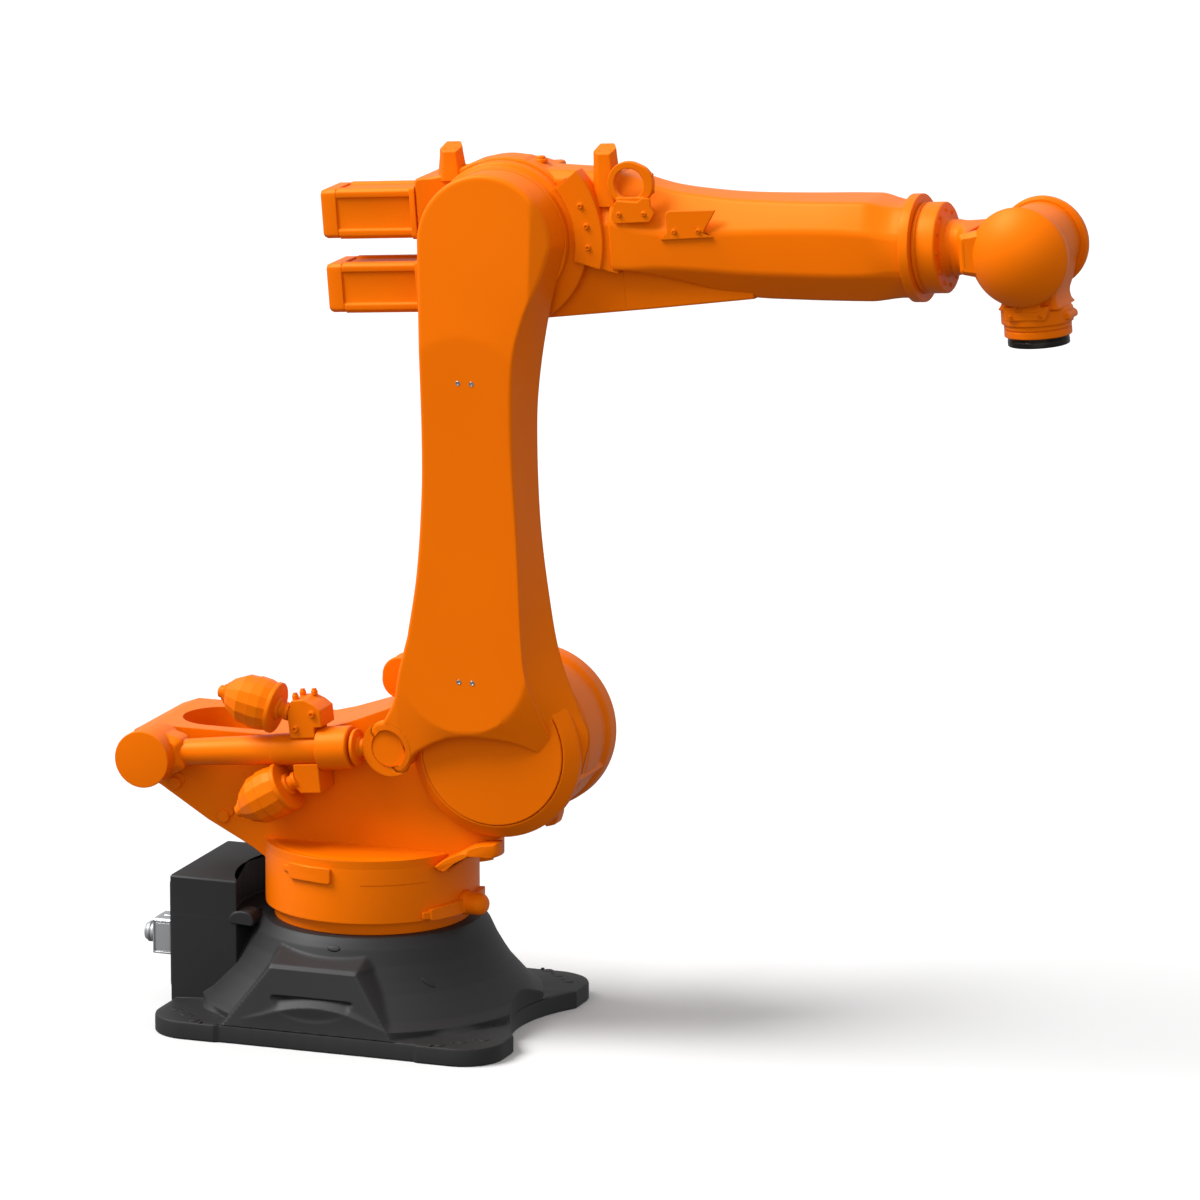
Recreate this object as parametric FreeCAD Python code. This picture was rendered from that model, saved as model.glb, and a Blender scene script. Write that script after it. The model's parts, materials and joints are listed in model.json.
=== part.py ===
import FreeCAD, Part
import math
import os

os.makedirs("parts", exist_ok=True)
V = FreeCAD.Vector

# ---- driving dimensions, mm: X forward along the arm, +Z up, origin on the turning axis at the floor ----
A2_X, A2_Z = 350.0, 675.0        # shoulder axis
LINK_LEN = 1150.0                # shoulder axis to elbow axis
A3_Z = A2_Z + LINK_LEN           # elbow axis height
PITCH = 4.5                      # the arm rests this many degrees nose up
A4_DROP = 49.0                   # wrist roll axis below the elbow axis
ARM_REACH = 1200.0               # elbow axis to wrist bend axis
FLANGE_DROP = 215.0              # wrist bend axis to flange face
GAP = 0.3                        # seat between pieces that turn on each other
FOOT_X, FOOT_Y, FOOT_T = 418.0, 357.0, 41.0
BOLT_X, BOLT_Y, BOLT_R = 334.0, 302.0, 13.5
BOLT_STEP_X, BOLT_STEP_Y = 38.0, 36.0
BASE_TOP = 242.0
BASE_R = 252.0
BOX_TOP = 327.0                  # junction box at the rear of the base
BOX_X0, BOX_X1, BOX_Y = -427.0, -255.0, 170.0
STOP_R = 300.0                   # reach of the rotating stop nose
STOP_TURN = -9.4                 # direction of the stop nose around the turning axis, degrees
DISC_R, NECK_R = 242.0, 223.0    # turning column
NECK_TOP, DISC_TOP = 272.0, 417.0
WING_TOP = 655.0
WING_Y0, WING_Y1 = -98.0, 180.0
BARREL_R = 178.0                 # shoulder housing of the column
BARREL_Y0, BARREL_Y1 = -98.0, 150.0
LINK_Y0, LINK_Y1 = -204.0, -108.0
HUB_R, ELBOW_R = 200.0, 158.0
HUB_DISC_R = 168.0
HOOD_RISE = 20.0                 # the hub is recessed below this height over the shoulder axis
LUG_X, LUG_Z = 111.0, 668.0      # balancer pin on the link arm
LUG_R = 64.0
PIN_X, PIN_Z = -469.0, 604.0     # balancer pivot on the column
STRUT_Y = -153.0
PIN_R, PIN_PLAY = 22.0, 0.05
TUBE_R, COLLAR_R, ROD_R = 35.0, 49.0, 18.0
EYE_R, EYE_HALF = 38.0, 13.0
DRUM_Y0, DRUM_Y1 = -52.0, 46.0   # from the strut's own plane
MOTOR_W = 120.0
MOTOR_RISE = 84.5                # wrist motors above and below their own middle
MOTOR_DROP = 24.0                # middle of the wrist motors below the elbow axis
REAR_TOP, REAR_LOW = 132.0, -174.0   # block that carries the wrist motors
ARM_R = 176.0                    # elbow housing
ARM_Y0, ARM_Y1 = -58.0, 140.0
FOREARM_END = 953.0
WEB_X = 1080.0                   # front of the wrist fork's web
RING_X, RING_Y, RING_Z = 312.0, -90.0, 118.0   # hose ring on the forearm
BRACKET_X0, BRACKET_X1 = 400.0, 536.0
FLANGE_R = 68.0
TOOL_PCD, TOOL_HOLES, TOOL_HOLE_R, TOOL_DEPTH = 100.0, 6, 4.25, 15.0
PILOT_R, PILOT_DEPTH = 31.5, 8.0
TILT = math.degrees(math.atan2(LUG_Z - PIN_Z, LUG_X - PIN_X))
MOTOR1_X, MOTOR1_Y = 150.0, 196.0   # turning motor's seat
FORK_Y0, FORK_Y1 = STRUT_Y - 19.0, STRUT_Y + 19.0
COLLAR_X0, COLLAR_X1 = 412.0, 488.0   # from the balancer's pivot
STRUT_LEN = math.hypot(LUG_X - PIN_X, LUG_Z - PIN_Z)


def save(name, shape):
    solid = shape.removeSplitter()
    print(name, solid.isValid(), len(solid.Solids), round(solid.Volume / 1e6, 2))
    solid.exportStep("parts/" + name + ".step")


def fuse(first, *others):
    for other in others:
        first = first.fuse(other)
    return first


def cut(first, *others):
    for other in others:
        first = first.cut(other)
    return first


def box(x0, x1, y0, y1, z0, z1):
    return Part.makeBox(x1 - x0, y1 - y0, z1 - z0, V(x0, y0, z0))


def cyl_z(r, x, y, z0, z1):
    return Part.makeCylinder(r, z1 - z0, V(x, y, z0), V(0, 0, 1))


def cyl_y(r, x, z, y0, y1):
    return Part.makeCylinder(r, y1 - y0, V(x, y0, z), V(0, 1, 0))


def cyl_x(r, y, z, x0, x1):
    return Part.makeCylinder(r, x1 - x0, V(x0, y, z), V(1, 0, 0))


def cone_x(r0, r1, y, z, x0, x1):
    return Part.makeCone(r0, r1, x1 - x0, V(x0, y, z), V(1, 0, 0))


def cone_y(r0, r1, x, z, y0, y1):
    return Part.makeCone(r0, r1, y1 - y0, V(x, y0, z), V(0, 1, 0))


def plate_y(points, y0, y1):
    """Flat outline of (x, z) points, carried from y0 to y1."""
    wire = Part.makePolygon([V(x, y0, z) for x, z in points + points[:1]])
    return Part.Face(wire).extrude(V(0, y1 - y0, 0))


def plate_z(points, z0, z1):
    """Flat outline of (x, y) points, carried from z0 to z1."""
    wire = Part.makePolygon([V(x, y, z0) for x, y in points + points[:1]])
    return Part.Face(wire).extrude(V(0, 0, z1 - z0))


def smooth_y(points, y):
    """Closed smooth curve through (x, z) points in the plane of one y."""
    curve = Part.BSplineCurve()
    curve.interpolate([V(x, y, z) for x, z in points], PeriodicFlag=True)
    return Part.Wire(curve.toShape())


def octagon_x(x, y, z, half_y, top, low, corner):
    """Chamfered rectangle across the X axis, as a closed wire."""
    ring = [(half_y - corner, top), (half_y, top - corner), (half_y, low + corner), (half_y - corner, low),
            (corner - half_y, low), (-half_y, low + corner), (-half_y, top - corner), (corner - half_y, top)]
    return Part.makePolygon([V(x, y + a, z + b) for a, b in ring + ring[:1]])


def seat_arm(shape):
    """Carries a piece from the arm's own frame, with the elbow axis at its origin, to its rest pose."""
    shape.rotate(V(0, 0, 0), V(0, 1, 0), -PITCH)
    shape.translate(V(A2_X, 0, A3_Z))
    return shape


def seat_strut(shape):
    """Carries a piece from the balancer's own frame, pivot at its origin and rod along X, to its rest pose."""
    shape.rotate(V(0, 0, 0), V(0, 1, 0), -TILT)
    shape.translate(V(PIN_X, STRUT_Y, PIN_Z))
    return shape


# ---- base ----
def foot_plan():
    """Plan of the foot plate: a rectangle with rounded corners and a scoop along its front and rear edges."""
    corner = 95.0
    plan = box(-FOOT_X, FOOT_X, corner - FOOT_Y, FOOT_Y - corner, 0, FOOT_T)
    plan = plan.fuse(box(corner - FOOT_X, FOOT_X - corner, -FOOT_Y, FOOT_Y, 0, FOOT_T))
    for sx in (-1, 1):
        for sy in (-1, 1):
            plan = plan.fuse(cyl_z(corner, sx * (FOOT_X - corner), sy * (FOOT_Y - corner), 0, FOOT_T))
    scoop_r, depth = 330.0, 62.0
    return plan.cut(cyl_z(scoop_r, FOOT_X + scoop_r - depth, 0, -1, FOOT_T + 1))


def bolt_holes():
    """Three anchor holes in each foot, in a row across its corner."""
    holes = []
    for sx in (-1, 1):
        for sy in (-1, 1):
            for k in (-1, 0, 1):
                x, y = sx * (BOLT_X + k * BOLT_STEP_X), sy * (BOLT_Y - k * BOLT_STEP_Y)
                holes.append(cyl_z(BOLT_R, x, y, -1, FOOT_T + 1))
    return holes


def base_casting():
    profile = [(0, 0), (400, 0), (396, 44), (343, 104), (303, 152), (269, 218), (BASE_R, BASE_TOP), (0, BASE_TOP)]
    wire = Part.makePolygon([V(r, 0, z) for r, z in profile + profile[:1]])
    bell = Part.Face(wire).revolve(V(0, 0, 0), V(0, 0, 1), 360)
    side = FOOT_Y - 7
    bell = bell.common(box(-FOOT_X + 4, 400, -side, side, 0, 300))
    scoop_r, depth = 330.0, 62.0
    bell = bell.cut(cyl_z(scoop_r, FOOT_X + scoop_r - depth, 0, -1, FOOT_T + 1))
    drum = box(BOX_X0, BOX_X1, -BOX_Y, BOX_Y, 0, BOX_TOP)
    drum = drum.cut(cyl_z(STOP_R + 12, 0, 0, BASE_TOP, 400))
    body = fuse(foot_plan(), bell, drum)
    for sy in (-1, 1):
        y = sy * side
        pocket = cyl_y(95, -10, 117, y - 14, y + 14).common(box(-110, 90, y - 15, y + 15, 0, 114))
        body = body.cut(pocket)
    body = cut(body, cyl_z(150, 0, 0, 60, BASE_TOP + 1), box(BOX_X0 + 14, -140, -60, 60, 60, 200))
    return cut(body, *bolt_holes())


def box_cover():
    plate = box(BOX_X0 - 6, BOX_X0 - GAP, -BOX_Y + 14, BOX_Y - 14, 60, BOX_TOP - 14)
    return plate


def connector_housing():
    return box(BOX_X0 - 52, BOX_X0 - 6 - GAP, -140, -62, 130, 214)


def connector_gland():
    x1 = BOX_X0 - 52 - GAP
    return fuse(cyl_x(19, -101, 172, x1 - 16, x1), cyl_x(24, -101, 172, x1 - 36, x1 - 12))


# ---- turning column ----
def wing():
    """Rear wing and shoulder cheeks of the column, cut out of one slab."""
    outline = [(-556, 604), (-553, 571), (-535, 546), (-475, 516), (-361, 446), (-254, 392), (-205, 360),
               (205, 360), (300, 440), (430, 508), (520, 600), (470, 800), (330, 835), (200, 800),
               (80, 740), (-17, 700), (-110, 668), (-160, WING_TOP), (-500, WING_TOP), (-540, 640)]
    slab = plate_y(outline, WING_Y0, WING_Y1)
    slab = slab.cut(box(60, 700, BARREL_Y1 - 30, 400, DISC_TOP, 1000))
    well = box(-436 + 60, -250, -60, 126, 470, WING_TOP + 1)
    return cut(slab, well, cyl_z(93, -376, 33, 470, WING_TOP + 1))


def column_casting():
    neck = cyl_z(NECK_R, 0, 0, BASE_TOP + GAP, NECK_TOP + 1)
    disc = cyl_z(DISC_R, 0, 0, NECK_TOP, DISC_TOP)
    motor_seat = cyl_z(88, MOTOR1_X, MOTOR1_Y, 342, DISC_TOP)
    barrel = cyl_y(BARREL_R, A2_X, A2_Z, BARREL_Y0, BARREL_Y1)
    rim = cyl_y(BARREL_R + 7, A2_X, A2_Z, BARREL_Y1 - 38, BARREL_Y1 - 8)
    lobe = cyl_y(43, 41, 765, 70, 130)
    body = fuse(neck, disc, motor_seat, wing(), barrel, rim, lobe)
    clear = cyl_z(DISC_R + 200, 0, 0, BASE_TOP, 346).cut(cyl_z(DISC_R + 40, 0, 0, BASE_TOP - 1, 400))
    body = cut(body, clear, cyl_y(118, A2_X, A2_Z, BARREL_Y1 - 22, BARREL_Y1 + 1))
    dowel = [cyl_y(13, x, z, WING_Y0 - 3, WING_Y0) for x, z in ((-430, 536), (-311, 470))]
    return fuse(body, *dowel)


def shoulder_reducer():
    """Output face of the shoulder gearbox, between the column and the link arm."""
    return cyl_y(165, A2_X, A2_Z, LINK_Y1 + GAP, BARREL_Y0 - GAP)


def pivot_pin():
    """Pin on the wing that the balancer swings on."""
    pin = cyl_y(PIN_R, PIN_X, PIN_Z, STRUT_Y, WING_Y0 - GAP)
    return fuse(pin, cyl_y(42, PIN_X, PIN_Z, STRUT_Y + DRUM_Y1 + 5, WING_Y0 - GAP))


def side_cover():
    """Raised access cover that lies on the round side of the column."""
    shell = cyl_z(DISC_R + 9, 0, 0, 362, 398).cut(cyl_z(DISC_R + GAP, 0, 0, 300, 420))
    return shell.common(box(-108, 0, -400, 0, 300, 420))


def stop_nose():
    """Stop block on the side of the column with a rounded nose that runs over the base."""
    turn = math.radians(STOP_TURN)
    band = cyl_z(DISC_R + 16, 0, 0, 285, 322).cut(cyl_z(DISC_R + GAP, 0, 0, 250, 400))
    fan = [(0, 0)] + [(500 * math.cos(a), 500 * math.sin(a)) for a in (turn - 0.56, turn, turn + 0.42)]
    band = band.common(plate_z(fan, 250, 400))
    cx, cy = math.cos(turn), math.sin(turn)
    nose = Part.makeCylinder(26, STOP_R - DISC_R - 14, V(cx * (DISC_R + 6), cy * (DISC_R + 6), 296), V(cx, cy, 0))
    tip_r = STOP_R - 8
    nose = nose.cut(cyl_z(DISC_R + GAP, 0, 0, 250, 400))
    return fuse(band, nose, Part.makeSphere(26, V(cx * (tip_r - 18), cy * (tip_r - 18), 296)).common(
        cyl_z(STOP_R, 0, 0, 250, 400)).cut(cyl_z(DISC_R + GAP, 0, 0, 250, 400)))


def motor_body(length, flange, width=MOTOR_W):
    """Servo motor along -X from its mounting face at the origin: flange, finned body, end cap."""
    half = width / 2
    parts = Part.makeLoft([octagon_x(-length + 36, 0, 0, half, half, -half, 18),
                           octagon_x(-flange, 0, 0, half, half, -half, 18)], True, True)
    parts = parts.fuse(box(-flange - 1, 0, -half - 4, half + 4, -half - 4, half + 4))
    end = Part.makeLoft([octagon_x(-length, 0, 0, half - 6, half - 6, 6 - half, 20),
                         octagon_x(-length + 37, 0, 0, half - 3, half - 3, 3 - half, 20)], True, True)
    return parts.fuse(end)


def shoulder_motor():
    motor = motor_body(215, 20, 140)
    motor.rotate(V(0, 0, 0), V(0, 0, 1), -90)
    motor.translate(V(A2_X - 10, BARREL_Y1 - 22 + GAP, A2_Z))
    return motor


def turning_motor():
    motor = motor_body(250, 18)
    motor.rotate(V(0, 0, 0), V(0, 1, 0), 90)
    motor.translate(V(MOTOR1_X, MOTOR1_Y + 25, DISC_TOP + GAP))
    return motor


# ---- link arm ----
def link_outline(inset):
    """Outline of the link arm as (x, z): a round head, a waist, and a wide foot around the shoulder."""
    pts = []
    for deg in range(15, 180, 30):
        a = math.radians(deg)
        pts.append((A2_X + (ELBOW_R - inset) * math.cos(a), A3_Z + (ELBOW_R - inset) * math.sin(a)))
    left = [(-154, 905), (-148, 700), (-150, 560), (-162, 400), (-184, 260), (-206, 150)]
    pts += [(A2_X + x + inset, A2_Z + z) for x, z in left]
    for deg in range(185, 345, 25):
        a = math.radians(deg)
        pts.append((A2_X + (HUB_R - inset) * math.cos(a), A2_Z + (HUB_R - inset) * math.sin(a)))
    right = [(206, 40), (170, 160), (135, 270), (114, 400), (99, 530), (93, 710), (98, 850), (120, 990)]
    pts += [(A2_X + x - inset, A2_Z + z) for x, z in right]
    return pts


def link_arm():
    back = smooth_y(link_outline(0), LINK_Y1)
    middle = smooth_y(link_outline(2), LINK_Y0 + 45)
    front = smooth_y(link_outline(24), LINK_Y0)
    body = Part.makeLoft([back, middle], True, True).fuse(Part.makeLoft([middle, front], True, True))
    hub_low = box(0, 700, LINK_Y0 - 1, LINK_Y0 + 48, A2_Z - 300, A2_Z + HOOD_RISE)
    body = body.cut(hub_low.common(cyl_y(HUB_R + 80, A2_X, A2_Z, LINK_Y0 - 1, LINK_Y0 + 48)))
    neck = [(LUG_X - 8, LUG_Z + LUG_R), (LUG_X + 26, LUG_Z + 94), (A2_X - 190, A2_Z + 150), (A2_X - 80, A2_Z - 60),
            (A2_X - 140, A2_Z - 110), (LUG_X + 30, LUG_Z - 58), (LUG_X - 8, LUG_Z - LUG_R + 1)]
    lug = cyl_y(LUG_R, LUG_X, LUG_Z, LINK_Y0, LINK_Y1).fuse(plate_y(neck, LINK_Y0, LINK_Y1))
    body = fuse(body, lug).cut(hub_low.common(cyl_y(HUB_DISC_R + 4, A2_X, A2_Z, LINK_Y0 - 1, LINK_Y0 + 48)))
    fork = cyl_y(HUB_R + 160, A2_X, A2_Z, FORK_Y0, FORK_Y1).cut(cyl_y(HUB_R - 16, A2_X, A2_Z, FORK_Y0, FORK_Y1))
    fork = fork.common(box(-200, A2_X - 120, -400, 0, A2_Z - 260, LUG_Z + 92))
    return cut(body, fork, cyl_y(43, LUG_X, LUG_Z, LINK_Y0 - 1, LINK_Y0 + 6))


def hub_cover():
    """Round cover over the shoulder reducer, on the near face of the link arm."""
    disc = cyl_y(HUB_DISC_R, A2_X, A2_Z, LINK_Y0 + 34, LINK_Y0 + 48 - GAP)
    return disc.common(box(0, 700, LINK_Y0, 0, 0, A2_Z + HOOD_RISE - GAP))


def pin_cap():
    return cyl_y(40, LUG_X, LUG_Z, LINK_Y0 + 2, LINK_Y0 + 6 - GAP)


def elbow_dome():
    """Shallow domed face of the elbow end."""
    return cyl_y(120, A2_X, A3_Z, LINK_Y0 - 5, LINK_Y0 - GAP)


# ---- balancer, in its own frame: pivot at the origin, rod along +X ----
def balancer_drum():
    drum = cyl_y(60, 0, 0, DRUM_Y0, DRUM_Y1)
    taper = [(0, 59), (60, 47), (110, TUBE_R - 1), (110, 1 - TUBE_R), (60, -47), (0, -59)]
    return drum.fuse(plate_y(taper, -33, 33)).cut(cyl_y(PIN_R + PIN_PLAY, 0, 0, -1, DRUM_Y1 + 1))


def balancer_tube():
    return cyl_x(TUBE_R, 0, 0, 110 + GAP, COLLAR_X0 - GAP)


def balancer_collar():
    return cyl_x(COLLAR_R, 0, 0, COLLAR_X0, COLLAR_X1)


def balancer_rod():
    nut = cyl_x(42, 0, 0, COLLAR_X1 + GAP, COLLAR_X1 + 14)
    rod = cyl_x(ROD_R, 0, 0, COLLAR_X1 + 10, STRUT_LEN - 20)
    eye = cyl_y(EYE_R, STRUT_LEN, 0, -EYE_HALF, EYE_HALF)
    return fuse(nut, rod, eye)


def valve_block():
    """Manifold behind the tube that carries both accumulators."""
    outline = [(334, -48), (334, 118), (372, 118), (412 - GAP, 92), (412 - GAP, -48)]
    block = plate_y(outline, -30, 48).cut(cyl_x(TUBE_R + GAP, 0, 0, 300, 450))
    return block.cut(box(300, 450, -60, 0, -TUBE_R, TUBE_R))


def accumulator():
    """Bottle along +X: neck, faceted body, round end and nose."""
    neck = cyl_x(22, 0, 0, 0, 30)
    shoulder = cone_x(26, 60, 0, 0, 26, 60)
    body = cyl_x(60, 0, 0, 60, 112)
    end = cone_x(60, 30, 0, 0, 112, 148)
    nose = cyl_x(16, 0, 0, 148, 176)
    return fuse(neck, shoulder, body, end, nose)


def upper_accumulator():
    bottle = accumulator()
    bottle.rotate(V(0, 0, 0), V(0, 1, 0), -162)
    bottle.translate(V(334 - GAP, -14, 86))
    return bottle.cut(box(334 - GAP, 500, -80, 80, -100, 200))


def lower_accumulator():
    bottle = accumulator()
    bottle.rotate(V(0, 0, 0), V(0, 1, 0), 150)
    bottle.translate(V(352, -14, -48 - GAP))
    return bottle.cut(box(200, 500, -80, 80, -48 - GAP, 100))


# ---- arm, in its own frame: elbow axis at the origin ----
def elbow_reducer():
    return cyl_y(156, 0, 0, LINK_Y1 + GAP, ARM_Y0 - GAP)


def housing_front():
    """Tapering front of the elbow housing, where the forearm bolts on."""
    rings = [octagon_x(0, 20, 0, 116, 168, -168, 30), octagon_x(250 - GAP, 0, 0, 96, 138, -160, 30)]
    return Part.makeLoft(rings, True, True)


def arm_housing():
    drum = cyl_y(ARM_R, 0, 0, ARM_Y0, ARM_Y1)
    rear = box(-210, 0, ARM_Y0, ARM_Y1, REAR_LOW, REAR_TOP)
    clear = cyl_y(ARM_R + 22, 0, 0, -200, ARM_Y0)
    return fuse(drum, rear, housing_front().cut(clear))


def wrist_motor(y, z):
    motor = motor_body(252, 14)
    motor.translate(V(-210 - GAP, y, z))
    return motor


def elbow_motor():
    motor = motor_body(190, 18, 130)
    motor.rotate(V(0, 0, 0), V(0, 0, 1), -90)
    motor.translate(V(0, ARM_Y1 + GAP, 0))
    return motor


def forearm_keel():
    """Flat web under the beam, level with the elbow housing's side."""
    rings = [octagon_x(250, 0, 0, 58, 20, -174, 4), octagon_x(560, 0, 0, 58, 20, -150, 4)]
    return Part.makeLoft(rings, True, True)


def forearm():
    """Tapered casting from the elbow housing to the front collar: a beam with sloping flanks, and its keel."""
    stations = [(250, 96, 134, -80, 12, 88), (380, 98, 92, -106, 40, 76), (560, 98, 73, -149, 60, 60),
                (780, 106, 66, -156, 62, 60), (930, 110, 62, -159, 62, 62)]
    body = forearm_keel()
    for first, second in zip(stations, stations[1:]):
        wires = [flank_ring(*s) for s in (first, second)]
        body = body.fuse(Part.makeLoft(wires, True, True))
    return body


def flank_ring(x, half, top, low, low_corner, top_corner):
    """Eight-sided ring across the X axis with its own corner sizes above and below."""
    side_top = top - top_corner
    side_low = low + low_corner
    flat_top, flat_low = half - 0.62 * top_corner, half - 0.8 * low_corner
    ring = [(flat_top, top), (half, side_top), (half, side_low), (flat_low, low),
            (-flat_low, low), (-half, side_low), (-half, side_top), (-flat_top, top)]
    return Part.makePolygon([V(x, a, b) for a, b in ring + ring[:1]])


def forearm_collar():
    return cyl_x(118, 0, -A4_DROP, 930 + GAP, FOREARM_END)


def lifting_block(x, y, low_z, top):
    """Tapered lifting boss with a hexagonal top, on the elbow housing."""
    low = Part.makeBox(52, 46, top - 26 - low_z, V(x - 26, y - 23, low_z))
    high = cyl_z(19, x, y, top - 26, top)
    front = housing_front()
    front.translate(V(0, 0, GAP))
    rear = box(-300, 0, -200, 200, 0, REAR_TOP + GAP)
    return fuse(low, high).cut(cyl_y(ARM_R + GAP, 0, 0, -200, 200)).cut(front).cut(rear)


def side_plate():
    """Curved plate with three screws on the near side of the housing."""
    ring = cyl_y(ARM_R + 20, 0, 0, ARM_Y0 - 14, ARM_Y0 - GAP).cut(cyl_y(158, 0, 0, -200, 200))
    return ring.common(plate_y([(20, 6), (400, -60), (400, 160), (20, 60)], -200, 0))


def hose_ring():
    ring = cyl_y(50, RING_X, RING_Z, RING_Y - 7, RING_Y + 7).cut(cyl_y(34, RING_X, RING_Z, -120, 0))
    plate = box(RING_X - 38, RING_X + 38, RING_Y - 5, RING_Y + 1, RING_Z - 118, RING_Z - 44)
    return fuse(ring, plate).cut(forearm_clearance()).cut(housing_front())


def forearm_clearance():
    """The forearm, grown upward and outward by the seat gap."""
    grown = forearm()
    grown.translate(V(0, -GAP, GAP))
    return grown.fuse(forearm())


def cable_bracket():
    foot = box(BRACKET_X0, BRACKET_X1, -106, -98 - GAP, -20, 62)
    return fuse(foot, box(BRACKET_X0, BRACKET_X1, -106, -70, 58, 62)).cut(forearm_clearance())


# ---- wrist ----
def wrist_tube():
    collar = cyl_x(100, 0, -A4_DROP, FOREARM_END + GAP, 1007)
    tube = cone_x(62, 52, 0, -A4_DROP, 1006, WEB_X - 10)
    web = box(WEB_X - 22, WEB_X, -112, 112, -A4_DROP - 46, -A4_DROP + 46)
    return fuse(collar, tube, web)


def wrist_near_cheek():
    z = -A4_DROP
    return cyl_y(92, ARM_REACH, z, -112, -66).fuse(box(WEB_X + GAP, ARM_REACH, -112, -66, z - 46, z + 46))


def wrist_dome():
    z = -A4_DROP
    ball_r, rise = 113.0, 50.0
    cap = Part.makeSphere(ball_r, V(ARM_REACH, ball_r - rise - 112, z))
    return cap.common(cyl_y(94, ARM_REACH, z, -180, -112 - GAP))


def wrist_far_cheek():
    z = -A4_DROP
    return cyl_y(100, ARM_REACH, z, 66, 112).fuse(box(WEB_X + GAP, ARM_REACH, 66, 112, z - 46, z + 46))


def wrist_far_cover():
    return cyl_y(92, ARM_REACH, -A4_DROP, 112 + GAP, 134)


def swivel_housing():
    z = -A4_DROP
    barrel = cyl_y(88, ARM_REACH, z, -66 + GAP, 66 - GAP)
    right = [(84, -10), (74, -68), (62, -102), (70, -130)]
    outline = [(ARM_REACH - x, z + h) for x, h in right] + [(ARM_REACH + x, z + h) for x, h in reversed(right)]
    neck = plate_y(outline, -60, 60)
    return fuse(barrel, neck, cyl_z(79, ARM_REACH, 0, z - 165, z - 129))


def swivel_ring():
    z = -A4_DROP
    return cyl_z(74, ARM_REACH, 0, z - 186, z - 165 - GAP)


def swivel_plate():
    z = -A4_DROP
    plate = plate_y([(ARM_REACH - 58, z - 92), (ARM_REACH - 48, z - 128), (ARM_REACH + 48, z - 128),
                     (ARM_REACH + 60, z - 80)], -65, -60 - GAP)
    return plate.cut(cyl_y(88 + GAP, ARM_REACH, z, -100, 0))


def flange():
    z = -A4_DROP
    disc = cyl_z(FLANGE_R, ARM_REACH, 0, z - FLANGE_DROP, z - 186 - GAP)
    face = z - FLANGE_DROP
    holes = []
    for k in range(TOOL_HOLES):
        a = math.radians(360 / TOOL_HOLES * (k + 0.5))
        x, y = ARM_REACH + TOOL_PCD / 2 * math.cos(a), TOOL_PCD / 2 * math.sin(a)
        holes.append(cyl_z(TOOL_HOLE_R, x, y, face - 1, face + TOOL_DEPTH))
    return cut(disc, cyl_z(PILOT_R, ARM_REACH, 0, face - 1, face + PILOT_DEPTH), *holes)


save("base_casting", base_casting())
save("box_cover", box_cover())
save("connector_housing", connector_housing())
save("connector_gland", connector_gland())
save("column_casting", column_casting())
save("shoulder_reducer", shoulder_reducer())
save("pivot_pin", pivot_pin())
save("side_cover", side_cover())
save("stop_nose", stop_nose())
save("shoulder_motor", shoulder_motor())
save("turning_motor", turning_motor())
save("link_arm", link_arm())
save("hub_cover", hub_cover())
save("pin_cap", pin_cap())
save("elbow_dome", elbow_dome())
save("balancer_drum", seat_strut(balancer_drum()))
save("balancer_tube", seat_strut(balancer_tube()))
save("balancer_collar", seat_strut(balancer_collar()))
save("balancer_rod", seat_strut(balancer_rod()))
save("valve_block", seat_strut(valve_block()))
save("upper_accumulator", seat_strut(upper_accumulator()))
save("lower_accumulator", seat_strut(lower_accumulator()))
save("elbow_reducer", seat_arm(elbow_reducer()))
save("arm_housing", seat_arm(arm_housing()))
save("wrist_motor_upper", seat_arm(wrist_motor(0, MOTOR_RISE - MOTOR_DROP)))
save("wrist_motor_lower", seat_arm(wrist_motor(0, -MOTOR_RISE - MOTOR_DROP)))
save("elbow_motor", seat_arm(elbow_motor()))
save("forearm", seat_arm(forearm()))
save("forearm_collar", seat_arm(forearm_collar()))
save("lifting_block_rear", seat_arm(lifting_block(-123, -34, 120, 199)))
save("lifting_block_front", seat_arm(lifting_block(224, -50, 120, 190)))
save("side_plate", seat_arm(side_plate()))
save("hose_ring", seat_arm(hose_ring()))
save("cable_bracket", seat_arm(cable_bracket()))
save("wrist_tube", seat_arm(wrist_tube()))
save("wrist_near_cheek", seat_arm(wrist_near_cheek()))
save("wrist_dome", seat_arm(wrist_dome()))
save("wrist_far_cheek", seat_arm(wrist_far_cheek()))
save("wrist_far_cover", seat_arm(wrist_far_cover()))
save("swivel_housing", seat_arm(swivel_housing()))
save("swivel_ring", seat_arm(swivel_ring()))
save("swivel_plate", seat_arm(swivel_plate()))
save("flange", seat_arm(flange()))
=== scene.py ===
# %% [markdown]
# An industrial robot arm: a dark cast base, a column that turns on it, a tall link arm, a forearm with
# three motors behind the elbow, and a wrist. The frame comes first: it holds every solid in its true
# place, and each new surface is worked out around it in the same metres.

# %% The frame
import json
import math

import bmesh
import bpy
import numpy as np
from mathutils import Matrix, Vector


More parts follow.
